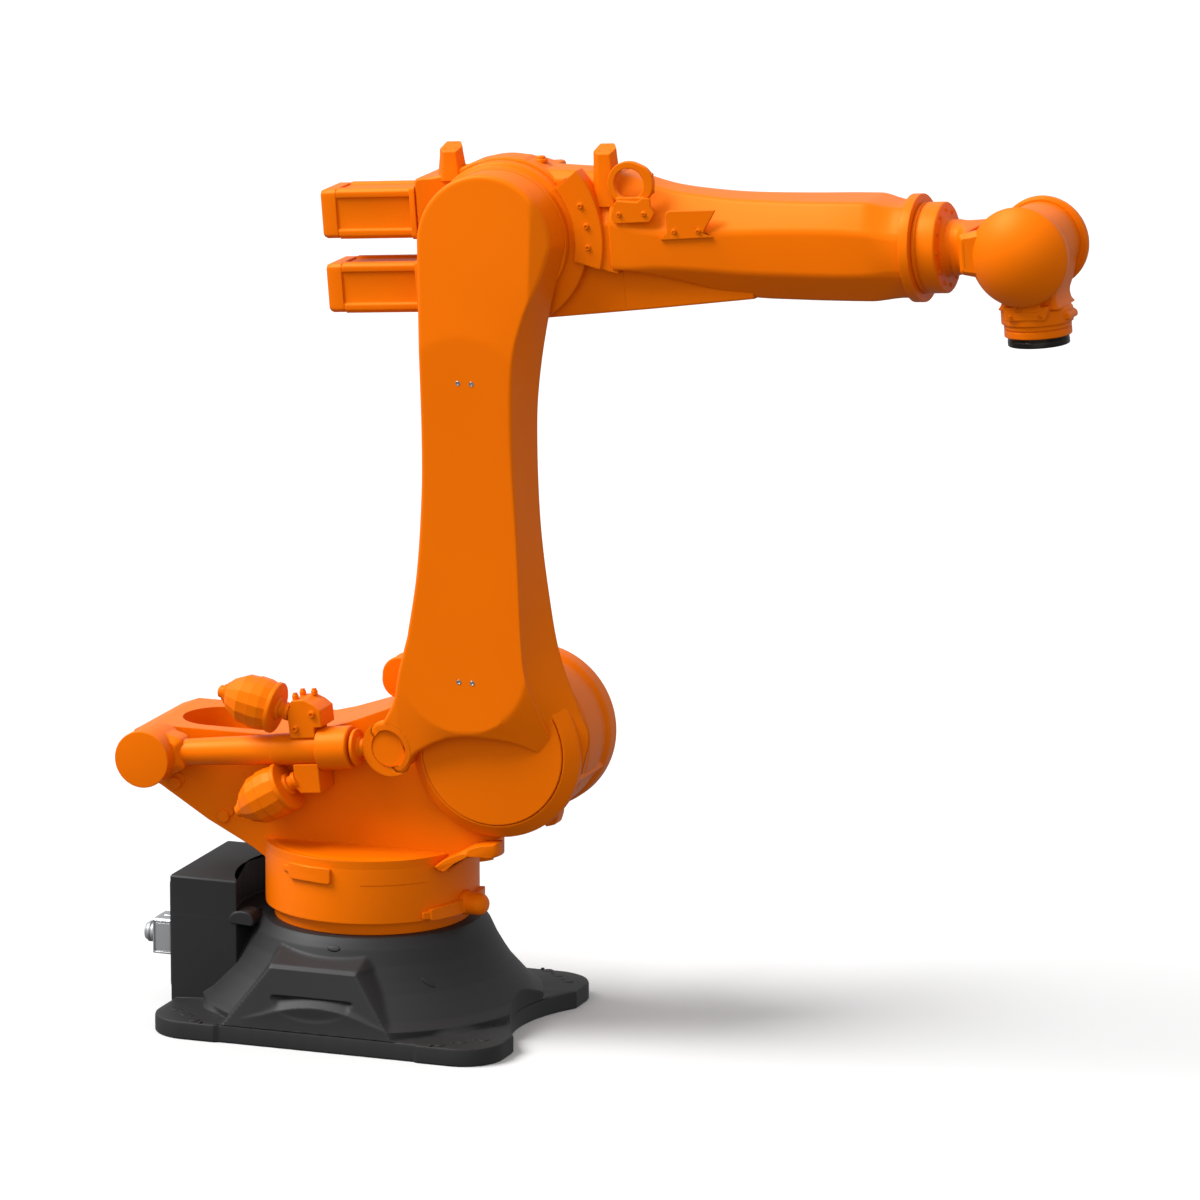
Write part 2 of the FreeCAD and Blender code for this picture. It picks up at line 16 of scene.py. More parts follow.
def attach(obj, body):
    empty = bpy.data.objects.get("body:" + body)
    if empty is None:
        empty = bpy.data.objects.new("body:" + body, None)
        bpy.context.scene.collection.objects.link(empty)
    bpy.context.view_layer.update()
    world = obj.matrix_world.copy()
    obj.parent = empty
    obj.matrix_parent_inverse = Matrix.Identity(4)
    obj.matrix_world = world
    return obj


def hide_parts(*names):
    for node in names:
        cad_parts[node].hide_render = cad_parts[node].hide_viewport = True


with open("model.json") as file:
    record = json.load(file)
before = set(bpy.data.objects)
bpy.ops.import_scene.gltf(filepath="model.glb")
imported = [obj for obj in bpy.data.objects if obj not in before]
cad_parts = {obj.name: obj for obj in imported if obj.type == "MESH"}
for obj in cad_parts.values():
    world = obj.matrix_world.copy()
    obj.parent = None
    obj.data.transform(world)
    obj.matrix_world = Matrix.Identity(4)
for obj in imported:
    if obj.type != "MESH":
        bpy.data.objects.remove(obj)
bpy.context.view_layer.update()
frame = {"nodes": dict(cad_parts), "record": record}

# %% [markdown]
# Three places steer the whole model: the shoulder axis, the elbow axis and the balancer's pivot. The arm
# rests a few degrees nose up and the balancer slopes up to its lug, so their pieces are drawn level in a
# frame of their own and then turned into place, which keeps every outline simple to read.

# %% Places that the whole arm is measured from
SHOULDER = np.array([0.35, 0.0, 0.675])
ELBOW = np.array([0.35, 0.0, 1.825])
PITCH = math.radians(4.5)
PIVOT = np.array([-0.469, -0.153, 0.604])
LUG = np.array([0.111, -0.153, 0.668])
RISE = math.atan2(LUG[2] - PIVOT[2], LUG[0] - PIVOT[0])
ROLL_DROP = 0.049
REACH = 1.2
WRIST_Z = -ROLL_DROP
NEAR_FACE, BACK_FACE = -0.204, -0.108


def turned_about_y(points, angle, origin):
    """Turns points nose up by an angle about Y, then adds the origin:
    x' = x cos - z sin, z' = x sin + z cos.
    """
    points = np.asarray(points, float)
    x, y, z = points[..., 0], points[..., 1], points[..., 2]
    c, s = math.cos(angle), math.sin(angle)
    return np.stack([x * c - z * s, y, x * s + z * c], axis=-1) + origin


def in_arm(points):
    """From the arm's level frame, elbow at zero, to the world."""
    return turned_about_y(points, PITCH, ELBOW)


def in_strut(points):
    """From the balancer's frame, pivot at zero and rod along X, to the world."""
    return turned_about_y(points, RISE, PIVOT)


def in_world(points):
    """Points that are already in the world."""
    return np.asarray(points, float)


print("balancer slope in degrees:", round(math.degrees(RISE), 2))

# %% [markdown]
# Every surface here is a grid: a closed ring of points, repeated along a path. One helper turns such a
# grid into a mesh and closes both ends with a fan, so no piece has a hole. Sharp corners stay sharp by
# their angle, and everything flatter is shaded smooth, as a machined or cast skin is.

# %% From a grid of points to a mesh
made = []


def grid_mesh(grid, closed=True):
    """Vertices and faces of a grid of rings. Each end ring gets one middle point and a fan of triangles."""
    rings, around = grid.shape[:2]
    index = np.arange(rings * around).reshape(rings, around)
    nxt = np.roll(index, -1, axis=1)
    quads = np.stack([index[:-1], nxt[:-1], nxt[1:], index[1:]], axis=-1).reshape(-1, 4)
    verts = grid.reshape(-1, 3)
    faces = [quads]
    if closed:
        ends = np.stack([grid[0].mean(axis=0), grid[-1].mean(axis=0)])
        first, last = len(verts), len(verts) + 1
        verts = np.vstack([verts, ends])
        head = np.stack([np.full(around, first), nxt[0], index[0]], axis=-1)
        tail = np.stack([np.full(around, last), index[-1], nxt[-1]], axis=-1)
        faces += [head, tail]
    return verts, faces


def join(parts):
    """Puts several (vertices, faces) lists into one."""
    verts, faces, start = [], [], 0
    for v, f in parts:
        verts.append(v)
        faces += [block + start for block in f]
        start += len(v)
    return np.vstack(verts), faces


def piece(name, parts, body, material, replaces=(), sharp=32):
    """Makes one object from (vertices, faces) parts, merges its doubles, points its faces outwards."""
    verts, faces = join(parts)
    mesh = bpy.data.meshes.new(name)
    mesh.from_pydata(verts.tolist(), [], [row for block in faces for row in block.tolist()])
    bm = bmesh.new()
    bm.from_mesh(mesh)
    bmesh.ops.remove_doubles(bm, verts=bm.verts, dist=2e-6)
    bmesh.ops.dissolve_degenerate(bm, edges=bm.edges, dist=1e-6)
    bmesh.ops.recalc_face_normals(bm, faces=bm.faces)
    bm.to_mesh(mesh)
    bm.free()
    mesh.polygons.foreach_set("use_smooth", np.ones(len(mesh.polygons), bool))
    mesh.set_sharp_from_angle(angle=math.radians(sharp))
    mesh.materials.append(material)
    obj = bpy.data.objects.new(name, mesh)
    bpy.context.scene.collection.objects.link(obj)
    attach(obj, body)
    if replaces:
        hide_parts(*replaces)
    made.append(obj)
    print(name, "faces", len(mesh.polygons))
    return obj


# %% [markdown]
# Turned parts such as collars, covers, pins and screws are one profile spun about an axis. A real edge is
# never a knife edge, so each inner corner of the profile is first replaced by a short arc.

# %% Profiles, rounded corners and spinning
def rounded(profile, radius, steps=4, closed=False):
    """Replaces each inner corner by a curve: it leaves and joins the two sides at the radius, or at 45% of
    a shorter side, and bends as (1-t)^2 A + 2t(1-t) B + t^2 C between them."""
    pts = np.asarray(profile, float)
    t = np.linspace(0, 1, steps + 1)[:, None]
    out = [] if closed else [pts[:1]]
    count = len(pts)
    for k in range(count if closed else count - 2):
        a, b, c = (pts[(k + j) % count] for j in range(3))
        la, lc = np.linalg.norm(a - b), np.linalg.norm(c - b)
        cut_a, cut_c = min(radius, 0.45 * la), min(radius, 0.45 * lc)
        p, q = b + (a - b) / max(la, 1e-9) * cut_a, b + (c - b) / max(lc, 1e-9) * cut_c
        out.append((1 - t) ** 2 * p + 2 * t * (1 - t) * b + t ** 2 * q)
    if not closed:
        out.append(pts[-1:])
    return np.vstack(out)


def spin(profile, at, axis, place=in_world, around=64, corner=0.002, turn=0.0):
    """Spins a profile of (along, radius) pairs: point = at + axis * along + radius * (u cos a + v sin a)."""
    axis = np.asarray(axis, float) / np.linalg.norm(axis)
    side = np.cross(axis, [0, 0, 1] if abs(axis[2]) < 0.9 else [1, 0, 0])
    side /= np.linalg.norm(side)
    up = np.cross(axis, side)
    line = rounded(profile, corner) if corner else np.asarray(profile, float)
    a = np.linspace(0, 2 * math.pi, around, endpoint=False) + turn
    ring = np.cos(a)[:, None] * side + np.sin(a)[:, None] * up
    grid = np.asarray(at, float) + line[:, 0, None, None] * axis + line[:, 1, None, None] * ring
    return grid_mesh(place(grid))


def slab(outline, y0, y1, place=in_world, corner=0.003, edge=0.002):
    """Flat plate: an outline of (x, z) pairs with rounded corners, carried from y0 to y1, edges eased."""
    ring = rounded(outline, corner, closed=True)
    middle = ring.mean(axis=0)
    away = ring - middle
    size = np.linalg.norm(away, axis=1, keepdims=True)
    tight = middle + away * (1 - edge / size)
    rows = [(tight, y0), (ring, y0 + edge), (ring, y1 - edge), (tight, y1)]
    grid = np.stack([np.column_stack([r[:, 0], np.full(len(r), y), r[:, 1]]) for r, y in rows])
    return grid_mesh(place(grid))


def block(x0, x1, y0, y1, z0, z1, edge=0.003):
    """Box with eased edges."""
    return slab([(x0, z0), (x1, z0), (x1, z1), (x0, z1)], y0, y1, corner=edge, edge=edge)


def run(points, count):
    """Smooth open curve through points, as a Catmull-Rom spline: each span bends by its neighbours."""
    p = np.asarray(points, float)
    p = np.vstack([2 * p[0] - p[1], p, 2 * p[-1] - p[-2]])
    u = np.linspace(0, len(p) - 3 - 1e-9, count)
    k = u.astype(int)
    t = (u - k)[:, None]
    a, b, c, d = p[k], p[k + 1], p[k + 2], p[k + 3]
    square = 2 * a - 5 * b + 4 * c - d
    cube = 3 * b - a - 3 * c + d
    return 0.5 * (2 * b + (c - a) * t + square * t ** 2 + cube * t ** 3)


def arc(cx, cz, radius, start, end, count):
    """Points on a circle from one angle to another, in degrees."""
    a = np.radians(np.linspace(start, end, count))
    return np.column_stack([cx + radius * np.cos(a), cz + radius * np.sin(a)])


def soft_step(x, low, high):
    """0 below low, 1 above high, and 3t^2 - 2t^3 between."""
    t = np.clip((x - low) / (high - low), 0, 1)
    return t * t * (3 - 2 * t)


def screw(at, axis, radius, place=in_world):
    """Socket-head screw on a washer: a turned head with a round socket sunk into it."""
    r = radius
    head = [(0.0, 0.0), (0.0, 1.35 * r), (0.12 * r, 1.35 * r), (0.14 * r, r), (0.85 * r, r),
            (0.95 * r, 0.9 * r),
            (0.95 * r, 0.55 * r), (0.4 * r, 0.5 * r), (0.4 * r, 0.0)]
    return spin(head, at, axis, place, around=18, corner=0)


print("helpers are ready")

# %% [markdown]
# The arm wears a two-part machine paint over iron castings: even and satin, with the faint ripple that
# sprayed paint keeps, a little lighter where edges are rubbed and a little darker where dust settles. Both
# effects serve every material here, so each is a group that is built once.

# %% Shared shader groups
def new_group(name, inputs, outputs):
    """An empty shader group with named sockets."""
    group = bpy.data.node_groups.new(name, "ShaderNodeTree")
    for label, kind, value in inputs:
        socket = group.interface.new_socket(label, in_out="INPUT", socket_type=kind)
        if value is not None:
            socket.default_value = value
    for label, kind in outputs:
        group.interface.new_socket(label, in_out="OUTPUT", socket_type=kind)
    return group, group.nodes.new("NodeGroupInput"), group.nodes.new("NodeGroupOutput")


def node(tree, kind, links=None, **values):
    """Adds a node, sets its properties and unlinked inputs, and links the rest."""
    n = tree.nodes.new(kind)
    for key, value in values.items():
        setattr(n, key, value)
    for key, value in (links or {}).items():
        if hasattr(value, "is_output"):
            tree.links.new(value, n.inputs[key])
        else:
            n.inputs[key].default_value = value
    return n


FLOAT, VECTOR = "NodeSocketFloat", "NodeSocketVector"


def edge_group():
    """Worn edges: where the softened normal leaves the true one, broken up by noise."""
    g, gi, go = new_group("rubbed_edges", [("Width", FLOAT, 0.003), ("Scale", FLOAT, 40.0)],
                          [("Mask", FLOAT), ("Normal", VECTOR)])
    bevel = node(g, "ShaderNodeBevel", {"Radius": gi.outputs["Width"]}, samples=4)
    geo = node(g, "ShaderNodeNewGeometry")
    dot = node(g, "ShaderNodeVectorMath", {0: bevel.outputs["Normal"], 1: geo.outputs["Normal"]},
               operation="DOT_PRODUCT")
    coords = node(g, "ShaderNodeTexCoord")
    noise = node(g, "ShaderNodeTexNoise", {"Vector": coords.outputs["Object"],
                                           "Scale": gi.outputs["Scale"], "Detail": 3.0})
    lift = node(g, "ShaderNodeMapRange", {"Value": dot.outputs["Value"], "From Min": 0.995,
                                          "From Max": 0.9})
    rough = node(g, "ShaderNodeMapRange", {"Value": noise.outputs["Fac"], "From Min": 0.45,
                                           "From Max": 0.7})
    mask = node(g, "ShaderNodeMath", {0: lift.outputs["Result"], 1: rough.outputs["Result"]},
                operation="MULTIPLY")
    g.links.new(mask.outputs["Value"], go.inputs["Mask"])
    g.links.new(bevel.outputs["Normal"], go.inputs["Normal"])
    return g


def cloud_group():
    """Slow and fine noise together: a wide one for uneven colour, a fine one for the paint's ripple."""
    g, gi, go = new_group("cloud_and_ripple", [("Wide", FLOAT, 3.0), ("Fine", FLOAT, 220.0)],
                          [("Cloud", FLOAT), ("Ripple", FLOAT)])
    coords = node(g, "ShaderNodeTexCoord")
    wide = node(g, "ShaderNodeTexNoise", {"Vector": coords.outputs["Object"],
                                          "Scale": gi.outputs["Wide"], "Detail": 4.0})
    fine = node(g, "ShaderNodeTexNoise", {"Vector": coords.outputs["Object"],
                                          "Scale": gi.outputs["Fine"], "Detail": 2.0})
    g.links.new(wide.outputs["Fac"], go.inputs["Cloud"])
    g.links.new(fine.outputs["Fac"], go.inputs["Ripple"])
    return g


EDGES, CLOUDS = edge_group(), cloud_group()
print("groups:", EDGES.name, CLOUDS.name)

# %% [markdown]
# The finishes: orange enamel, near-black enamel on the rough base casting, a lighter die-cast metal for the
# plug, blackened steel for the tool flange and plain steel for screws and pins. They share one recipe, and
# differ in colour, roughness and how coarse the ripple is.

# %% Materials
EDGE_WEAR = 0.5                          # how much of the rubbed colour an edge shows


def finish(name, colour, dark, bright, rough=0.42, metal=0.0, ripple=260.0, bump=0.02,
           shine=0.5, tint=(1, 1, 1)):
    """A finish: clouded colour, brighter rubbed edges, uneven gloss and a fine ripple in the normal."""
    m = bpy.data.materials.new(name)
    m.use_nodes = True
    t = m.node_tree
    shader = t.nodes["Principled BSDF"]
    shader.inputs["Metallic"].default_value = metal
    shader.inputs["Specular IOR Level"].default_value = shine
    shader.inputs["Specular Tint"].default_value = (*tint, 1)
    edges = node(t, "ShaderNodeGroup", node_tree=EDGES)
    clouds = node(t, "ShaderNodeGroup", node_tree=CLOUDS)
    clouds.inputs["Fine"].default_value = ripple
    tone = node(t, "ShaderNodeMapRange", {"Value": clouds.outputs["Cloud"], "From Min": 0.3,
                                          "From Max": 0.7})
    base = node(t, "ShaderNodeMix", {"Factor": tone.outputs["Result"], "A": (*dark, 1),
                                     "B": (*colour, 1)}, data_type="RGBA")
    amount = node(t, "ShaderNodeMath", {0: edges.outputs["Mask"], 1: EDGE_WEAR}, operation="MULTIPLY")
    worn = node(t, "ShaderNodeMix", {"Factor": amount.outputs["Value"], "A": base.outputs["Result"],
                                     "B": (*bright, 1)}, data_type="RGBA")
    t.links.new(worn.outputs["Result"], shader.inputs["Base Color"])
    gloss = node(t, "ShaderNodeMapRange", {"Value": clouds.outputs["Cloud"], "From Min": 0.25,
                                           "From Max": 0.75,
                                           "To Min": rough - 0.05, "To Max": rough + 0.07})
    t.links.new(gloss.outputs["Result"], shader.inputs["Roughness"])
    relief = node(t, "ShaderNodeBump", {"Height": clouds.outputs["Ripple"],
                                        "Normal": edges.outputs["Normal"],
                                        "Strength": bump, "Distance": 0.002})
    t.links.new(relief.outputs["Normal"], shader.inputs["Normal"])
    return m


ORANGE = finish("orange_enamel", (0.8, 0.148, 0.0), (0.77, 0.138, 0.0), (0.88, 0.22, 0.004), rough=0.42,
                bump=0.02,
                shine=0.35, tint=(1.0, 0.55, 0.1))
DARK = finish("dark_enamel", (0.0165, 0.0165, 0.017), (0.0135, 0.0135, 0.014), (0.035, 0.035, 0.035),
              rough=0.55, ripple=420.0, bump=0.08,
              shine=0.3)
METAL = finish("die_cast", (0.48, 0.49, 0.5), (0.42, 0.43, 0.44), (0.7, 0.7, 0.7), rough=0.38, metal=0.8)
BLACK = finish("blackened_steel", (0.03, 0.026, 0.022), (0.02, 0.018, 0.016), (0.2, 0.18, 0.16),
               rough=0.28, metal=0.9)
STEEL = finish("bare_steel", (0.5, 0.5, 0.5), (0.42, 0.42, 0.42), (0.75, 0.75, 0.75), rough=0.3,
               metal=1.0)

BY_SLOT = {"orange_paint": ORANGE, "dark_casting": DARK, "connector_metal": METAL, "black_steel": BLACK,
           "steel": STEEL}
slots = {s["node"]: s["material_slot"] for s in frame["record"]["subparts"]}
for name, obj in frame["nodes"].items():
    obj.data.materials.clear()
    obj.data.materials.append(BY_SLOT[slots[name]])
print("materials on", len(frame["nodes"]), "frame nodes")

# %% [markdown]
# The link arm is one hollow casting. Its near face is flat along the shank, leans back a little over the
# elbow, and falls away like a cone below a round edge above the shoulder, towards the balancer's lug and
# the hub. It could be a boolean of blocks, but casting skin has no such seams, so the face is one height
# over (x, z), drawn on rings that run from the outline to the middle line.

# %% Link arm: the outline
LINK_X, LINK_Z = SHOULDER[0], SHOULDER[2]
SHANK_ARC = (-0.052, 0.203, 0.154)      # middle and radius of the round edge above the shoulder
HEAD_ARC = (-0.05, 0.785, 0.16)       # the same, below the elbow
LUG_MIDDLE = (-0.239, -0.007)
LUG_EDGE = 0.065


TOP, FORK, LUG_HEART = np.array([-0.008, 1.15]), np.array([-0.045, 0.15]), np.array([-0.236, -0.006])
COUNTS = (70, 110, 50, 60, 50, 70)      # points on head, left flank, neck, lug, hood, bottom


def link_ring(front):
    """Outline of the casting, counterclockwise from the right of the elbow, relative to the shoulder: a
    circle for the head, smooth flanks, a circle for the lug and a smooth hood over the hub. Flanks are
    wider at the back, because a casting has draft."""
    middle, radius = (-0.01, 0.155) if front else (0.0, 0.158)
    head = arc(middle, 1.15, radius, 0, 180, COUNTS[0])
    left = run([(middle - radius, 1.15), (-0.154, 0.905), (-0.148, 0.7), (-0.15, 0.56), (-0.162, 0.4),
                (-0.184, 0.26)], COUNTS[1])
    neck = run([(-0.184, 0.26), (-0.205, 0.18), (-0.221, 0.108), (-0.25, 0.0565)], COUNTS[2])
    lug = arc(*LUG_MIDDLE, LUG_EDGE, 100, 310, COUNTS[3])
    hood = run([(-0.197, -0.057), (-0.177, -0.018), (-0.134, 0.011), (-0.09, 0.031)], COUNTS[4])
    tip = [(0.125, 0.0), (0.168, -0.026)] if front else [(0.15, -0.03), (0.196, -0.045)]
    bottom = run([(-0.09, 0.031), (-0.035, 0.038), (0.056, 0.03)] + tip, COUNTS[5])
    near = [(0.168, -0.026), (0.148, 0.03), (0.128, 0.085), (0.1, 0.183), (0.09, 0.273), (0.081, 0.478),
            (0.069, 0.705),
            (0.071, 0.888), (0.092, 0.99), (0.123, 1.072), (middle + radius, 1.15)]
    far = [(0.196, -0.045), (0.214, 0.04), (0.192, 0.1), (0.145, 0.225), (0.118, 0.37), (0.099, 0.529),
           (0.092, 0.711), (0.097, 0.837), (0.12, 0.99), (middle + radius, 1.15)]
    right = run(near if front else far, COUNTS[1])
    return np.vstack([head, left, neck, lug, hood, bottom, right])


def face_depth(x, z):
    """How far the near face lies behind its highest plane: a cone below the shank's round edge, steeper
    on the right than towards the lug, plus a gentle cone over the head."""
    cx, cz, r = SHANK_ARC
    below = np.maximum(0, np.hypot(x - cx, np.minimum(z - cz, 0)) - r)
    steep = 0.2 + 0.26 * soft_step(x, -0.16, -0.02)
    hx, hz, hr = HEAD_ARC
    above = np.maximum(0, np.hypot(x - hx, np.maximum(z - hz, 0)) - hr)
    return steep * below + 0.085 * above


def middle_line():
    """For each outline point, the point that its ring closes on: poles in the head, the lug and the fork
    of a Y, and its three arms between them, where points of both sides meet in pairs."""
    def between(p, q, count):
        return p + (q - p) * np.linspace(0, 1, count)[:, None]

    def still(p, count):
        return between(p, p, count)
    head, flank, neck, lug, hood, bottom = COUNTS
    return np.vstack([still(TOP, head), between(TOP, FORK, flank), between(FORK, LUG_HEART, neck),
                      still(LUG_HEART, lug),
                      between(LUG_HEART, FORK, hood), still(FORK, bottom), between(FORK, TOP, flank)])


front_ring, back_ring = link_ring(True), link_ring(False)
print("outline points:", len(front_ring), len(back_ring))

# %% Link arm: faces and flanks
EASE = 0.009                             # radius of the eased edge around the near face


def cap_rows(ring, depths):
    """Rings from the outline to the middle line: first a few at set distances, then even shares."""
    target = middle_line()
    reach = np.maximum(np.linalg.norm(target - ring, axis=1, keepdims=True), 1e-4)
    rows = [ring + (target - ring) * np.minimum(d / reach, 0.9) for d in depths]
    start = np.minimum(depths[-1] / reach, 0.9)
    rows += [ring + (target - ring) * (start + (1 - start) * f) for f in np.linspace(0.03, 1.0, 46)]
    return rows


def link_surface():
    """Back face, flanks and near face as one run of rings. Near the rim the face turns over as a quarter
    circle: depth = r - sqrt(r^2 - (r - d)^2) at a distance d from the outline."""
    depths = [0.0, 0.0007, 0.002, 0.004, 0.0065, EASE, 0.014, 0.02]
    back = np.where(back_ring[:, 0] < -0.19, -0.1715, BACK_FACE)
    rows = [np.column_stack([r[:, 0], back, r[:, 1]]) for r in reversed(cap_rows(back_ring, [0.0, 0.02]))]
    faces = cap_rows(front_ring, depths)
    rim = face_depth(front_ring[:, 0], front_ring[:, 1]) + NEAR_FACE + EASE
    for share in (0.25, 0.5, 0.75, 0.97):
        flat = back_ring + (front_ring - back_ring) * share
        rows.append(np.column_stack([flat[:, 0], back + (rim - back) * share, flat[:, 1]]))
    for k, flat in enumerate(faces):
        d = depths[k] if k < len(depths) else EASE
        over = EASE - math.sqrt(max(EASE ** 2 - max(EASE - d, 0) ** 2, 0))
        near_lug = np.hypot(flat[:, 0] - LUG_MIDDLE[0], flat[:, 1] - LUG_MIDDLE[1])
        sunk = 0.016 * (1 - soft_step(near_lug, 0.046, 0.054))
        y = NEAR_FACE + face_depth(flat[:, 0], flat[:, 1]) + over + sunk
        rows.append(np.column_stack([flat[:, 0], y, flat[:, 1]]))
    return np.stack(rows) + [LINK_X, 0, LINK_Z]


def lug_patch():
    """Round face of the lug: rings around the pin follow the cone and step down into the pin's seat."""
    steps = [(0.0, 0.0085), (0.0395, 0.0085), (0.0405, 0.0115), (0.0412, 0.0115), (0.042, 0.0),
             (0.043, -0.0006), (0.048, -0.0007),
             (0.055, -0.0005), (0.0562, 0.0006), (0.0565, 0.012)]
    a = np.linspace(0, 2 * math.pi, 96, endpoint=False)
    rows = []
    for radius, sink in steps:
        x, z = LUG_MIDDLE[0] + radius * np.cos(a), LUG_MIDDLE[1] + radius * np.sin(a)
        tilt = face_depth(x, z) if radius > 0.042 else face_depth(*LUG_MIDDLE) + 0.3 * (face_depth(x,
                z) - face_depth(*LUG_MIDDLE))
        rows.append(np.column_stack([x, NEAR_FACE + tilt + sink, z]))
    return grid_mesh(np.stack(rows) + [LINK_X, 0, LINK_Z])


def hub_parts():
    """Hub: a rim with a sloping shoulder, and the reducer's round cover lying in it."""
    at, axis = (LINK_X, BACK_FACE, LINK_Z), (0, -1, 0)
    rim = [(0.0, 0.0), (0.0, 0.2), (0.022, 0.2), (0.046, 0.172), (0.046, 0.1685), (0.04, 0.168),
           (0.04, 0.0)]
    cover = [(0.04, 0.0), (0.04, 0.1665), (0.049, 0.1665), (0.0495, 0.0)]
    return spin(rim, at, axis, around=160, corner=0.003), spin(cover, at, axis, around=160, corner=0.002)


rim_part, cover_part = hub_parts()
piece("link_casting", [grid_mesh(link_surface(), closed=False), lug_patch()], "link_arm", ORANGE,
      ("link_arm", "elbow_dome", "pin_cap"), sharp=38)
piece("hub_rim", [rim_part], "link_arm", ORANGE)
piece("reducer_cover", [cover_part], "link_arm", ORANGE, ("hub_cover",))

# %% Link arm: small threaded holes in the near face
def pin_hole(x, z):
    """Mouth of a threaded hole: a low ring around a dark pit, as a turned profile."""
    y = NEAR_FACE + float(face_depth(np.array(x), np.array(z)))
    radius = 0.0035
    line = [(0.0, 0.0), (0.0, radius * 1.7), (0.0008, radius * 1.5), (0.0008, radius),
            (0.0001, radius * 0.9), (0.0001, 0.0)]
    return spin(line, (LINK_X + x, y, LINK_Z + z), (0, -1, 0), around=20, corner=0)


pairs = [(x, z) for z in (0.842, 0.166) for x in (-0.059, -0.027)]
piece("link_holes", [pin_hole(x, z) for x, z in pairs], "link_arm", STEEL)

# %% [markdown]
# Behind the link arm the elbow housing holds the gears of three wrist motors. It is a short drum with a
# step where the link's bearing sits, a block behind it for the motors, and a throat that narrows into the
# forearm. Eight-sided rings with rounded corners, each a little different from the last, give all of it.

# %% Rings for castings along the arm
def flank_ring(half, top, low, low_corner, top_corner):
    """Eight-sided ring (y, z): sloping corners above and below have their own sizes, and all are eased."""
    side_top, side_low = top - top_corner, low + low_corner
    flat_top, flat_low = half - 0.62 * top_corner, half - 0.8 * low_corner
    ring = [(flat_top, top), (half, side_top), (half, side_low), (flat_low, low),
            (-flat_low, low), (-half, side_low), (-half, side_top), (-flat_top, top)]
    return rounded(ring, 0.01, steps=5, closed=True)


def loft(stations, columns, count, ring):
    """Carries a ring along X: every size of the ring is a smooth curve through its values at stations."""
    table = np.column_stack([stations, columns])
    path = run(table, count)
    return [(row[0], ring(*row[1:])) for row in path]


def along_x(rows, place=in_arm):
    """Turns (x, ring of (y, z)) rows into a closed mesh."""
    grid = np.stack([np.column_stack([np.full(len(r), x), r[:, 0], r[:, 1]]) for x, r in rows])
    return grid_mesh(place(grid))


# %% Forearm: beam, keel and round front
def forearm_rows():
    """The beam's rings turn into a circle towards the front collar: each point moves to its own place on
    the circle as the share goes from 0 to 1."""
    x = [0.254, 0.305, 0.38, 0.47, 0.56, 0.68, 0.78, 0.86, 0.93]
    size = [[0.1, 0.138, -0.074, 0.006, 0.1], [0.1, 0.122, -0.078, 0.008, 0.104],
            [0.099, 0.097, -0.096, 0.026, 0.09],
            [0.098, 0.082, -0.124, 0.048, 0.078], [0.098, 0.073, -0.146, 0.062, 0.066],
            [0.103, 0.068, -0.153, 0.064, 0.06],
            [0.108, 0.066, -0.156, 0.064, 0.06], [0.11, 0.064, -0.158, 0.066, 0.064],
            [0.111, 0.062, -0.16, 0.068, 0.068]]
    rows = []
    for at, ring in loft(x, size, 110, flank_ring):
        round_share = soft_step(at, 0.84, 0.915)
        away = ring - [0, WRIST_Z]
        circle = away / np.linalg.norm(away, axis=1, keepdims=True) * 0.1115
        rows.append((at, [0, WRIST_Z] + away * (1 - round_share) + circle * round_share))
    first = rows[0][1]
    rows = [(rows[0][0], first.mean(axis=0) + (first - first.mean(axis=0)) * 0.9)] + \
           [(rows[0][0] + 0.004, first.mean(axis=0) + (first - first.mean(axis=0)) * 0.965)] + rows[2:]
    return rows


def keel_rows():
    """Flat web below the beam. Its lower edge rises in a straight line and its edges are eased."""
    table = [(0.06, -0.186), (0.2, -0.1765), (0.33, -0.1675), (0.45, -0.158), (0.57, -0.1485)]
    return [(x, rounded([(0.058, 0.02), (0.058, low), (-0.058, low), (-0.058, 0.02)], 0.006,
                        closed=True)) for x, low in table]


piece("forearm_beam", [along_x(forearm_rows())], "forearm", ORANGE, ("forearm",), sharp=28)
piece("forearm_keel", [along_x(keel_rows())], "forearm", ORANGE)
front_ring_line = [(0.0, 0.0), (0.0, 0.1185), (0.0225, 0.1185), (0.0228, 0.1085), (0.0228, 0.0)]
piece("front_collar", [spin(front_ring_line, (0.9303, 0, WRIST_Z), (1, 0, 0), in_arm, 160, 0.0015)],
      "forearm",
      ORANGE, ("forearm_collar",))

# %% Elbow housing
THROAT_END = 0.27


def throat_side(sign, r0, y_in, face):
    """One side of the throat, beyond a circle about the elbow: columns are rays from the elbow, rows run
    out along them. The face is flat below a ridge and leans inwards above it, as on the forearm."""
    rays = np.radians(np.linspace(-17, 43, 60))
    rings = []
    for a in rays:
        far = min(THROAT_END / math.cos(a), 0.139 / max(math.sin(a), 1e-3) if a > 0.35 else 9)
        far = max(far, r0 + 0.004)
        r = np.concatenate([[r0, r0, r0 + 0.0015], np.linspace(r0 + 0.003, far, 12), [far]])
        x, z = r * math.cos(a), r * math.sin(a)
        y = face - 0.6 * np.maximum(z - 0.028, 0) - 0.02 * np.maximum(x - 0.15, 0)
        y[0], y[1], y[2], y[-1] = y_in, y[1] - 0.003, y[2] - 0.0006, y_in
        rings.append(np.column_stack([x, sign * y, z]))
    return grid_mesh(in_arm(np.stack(rings)))


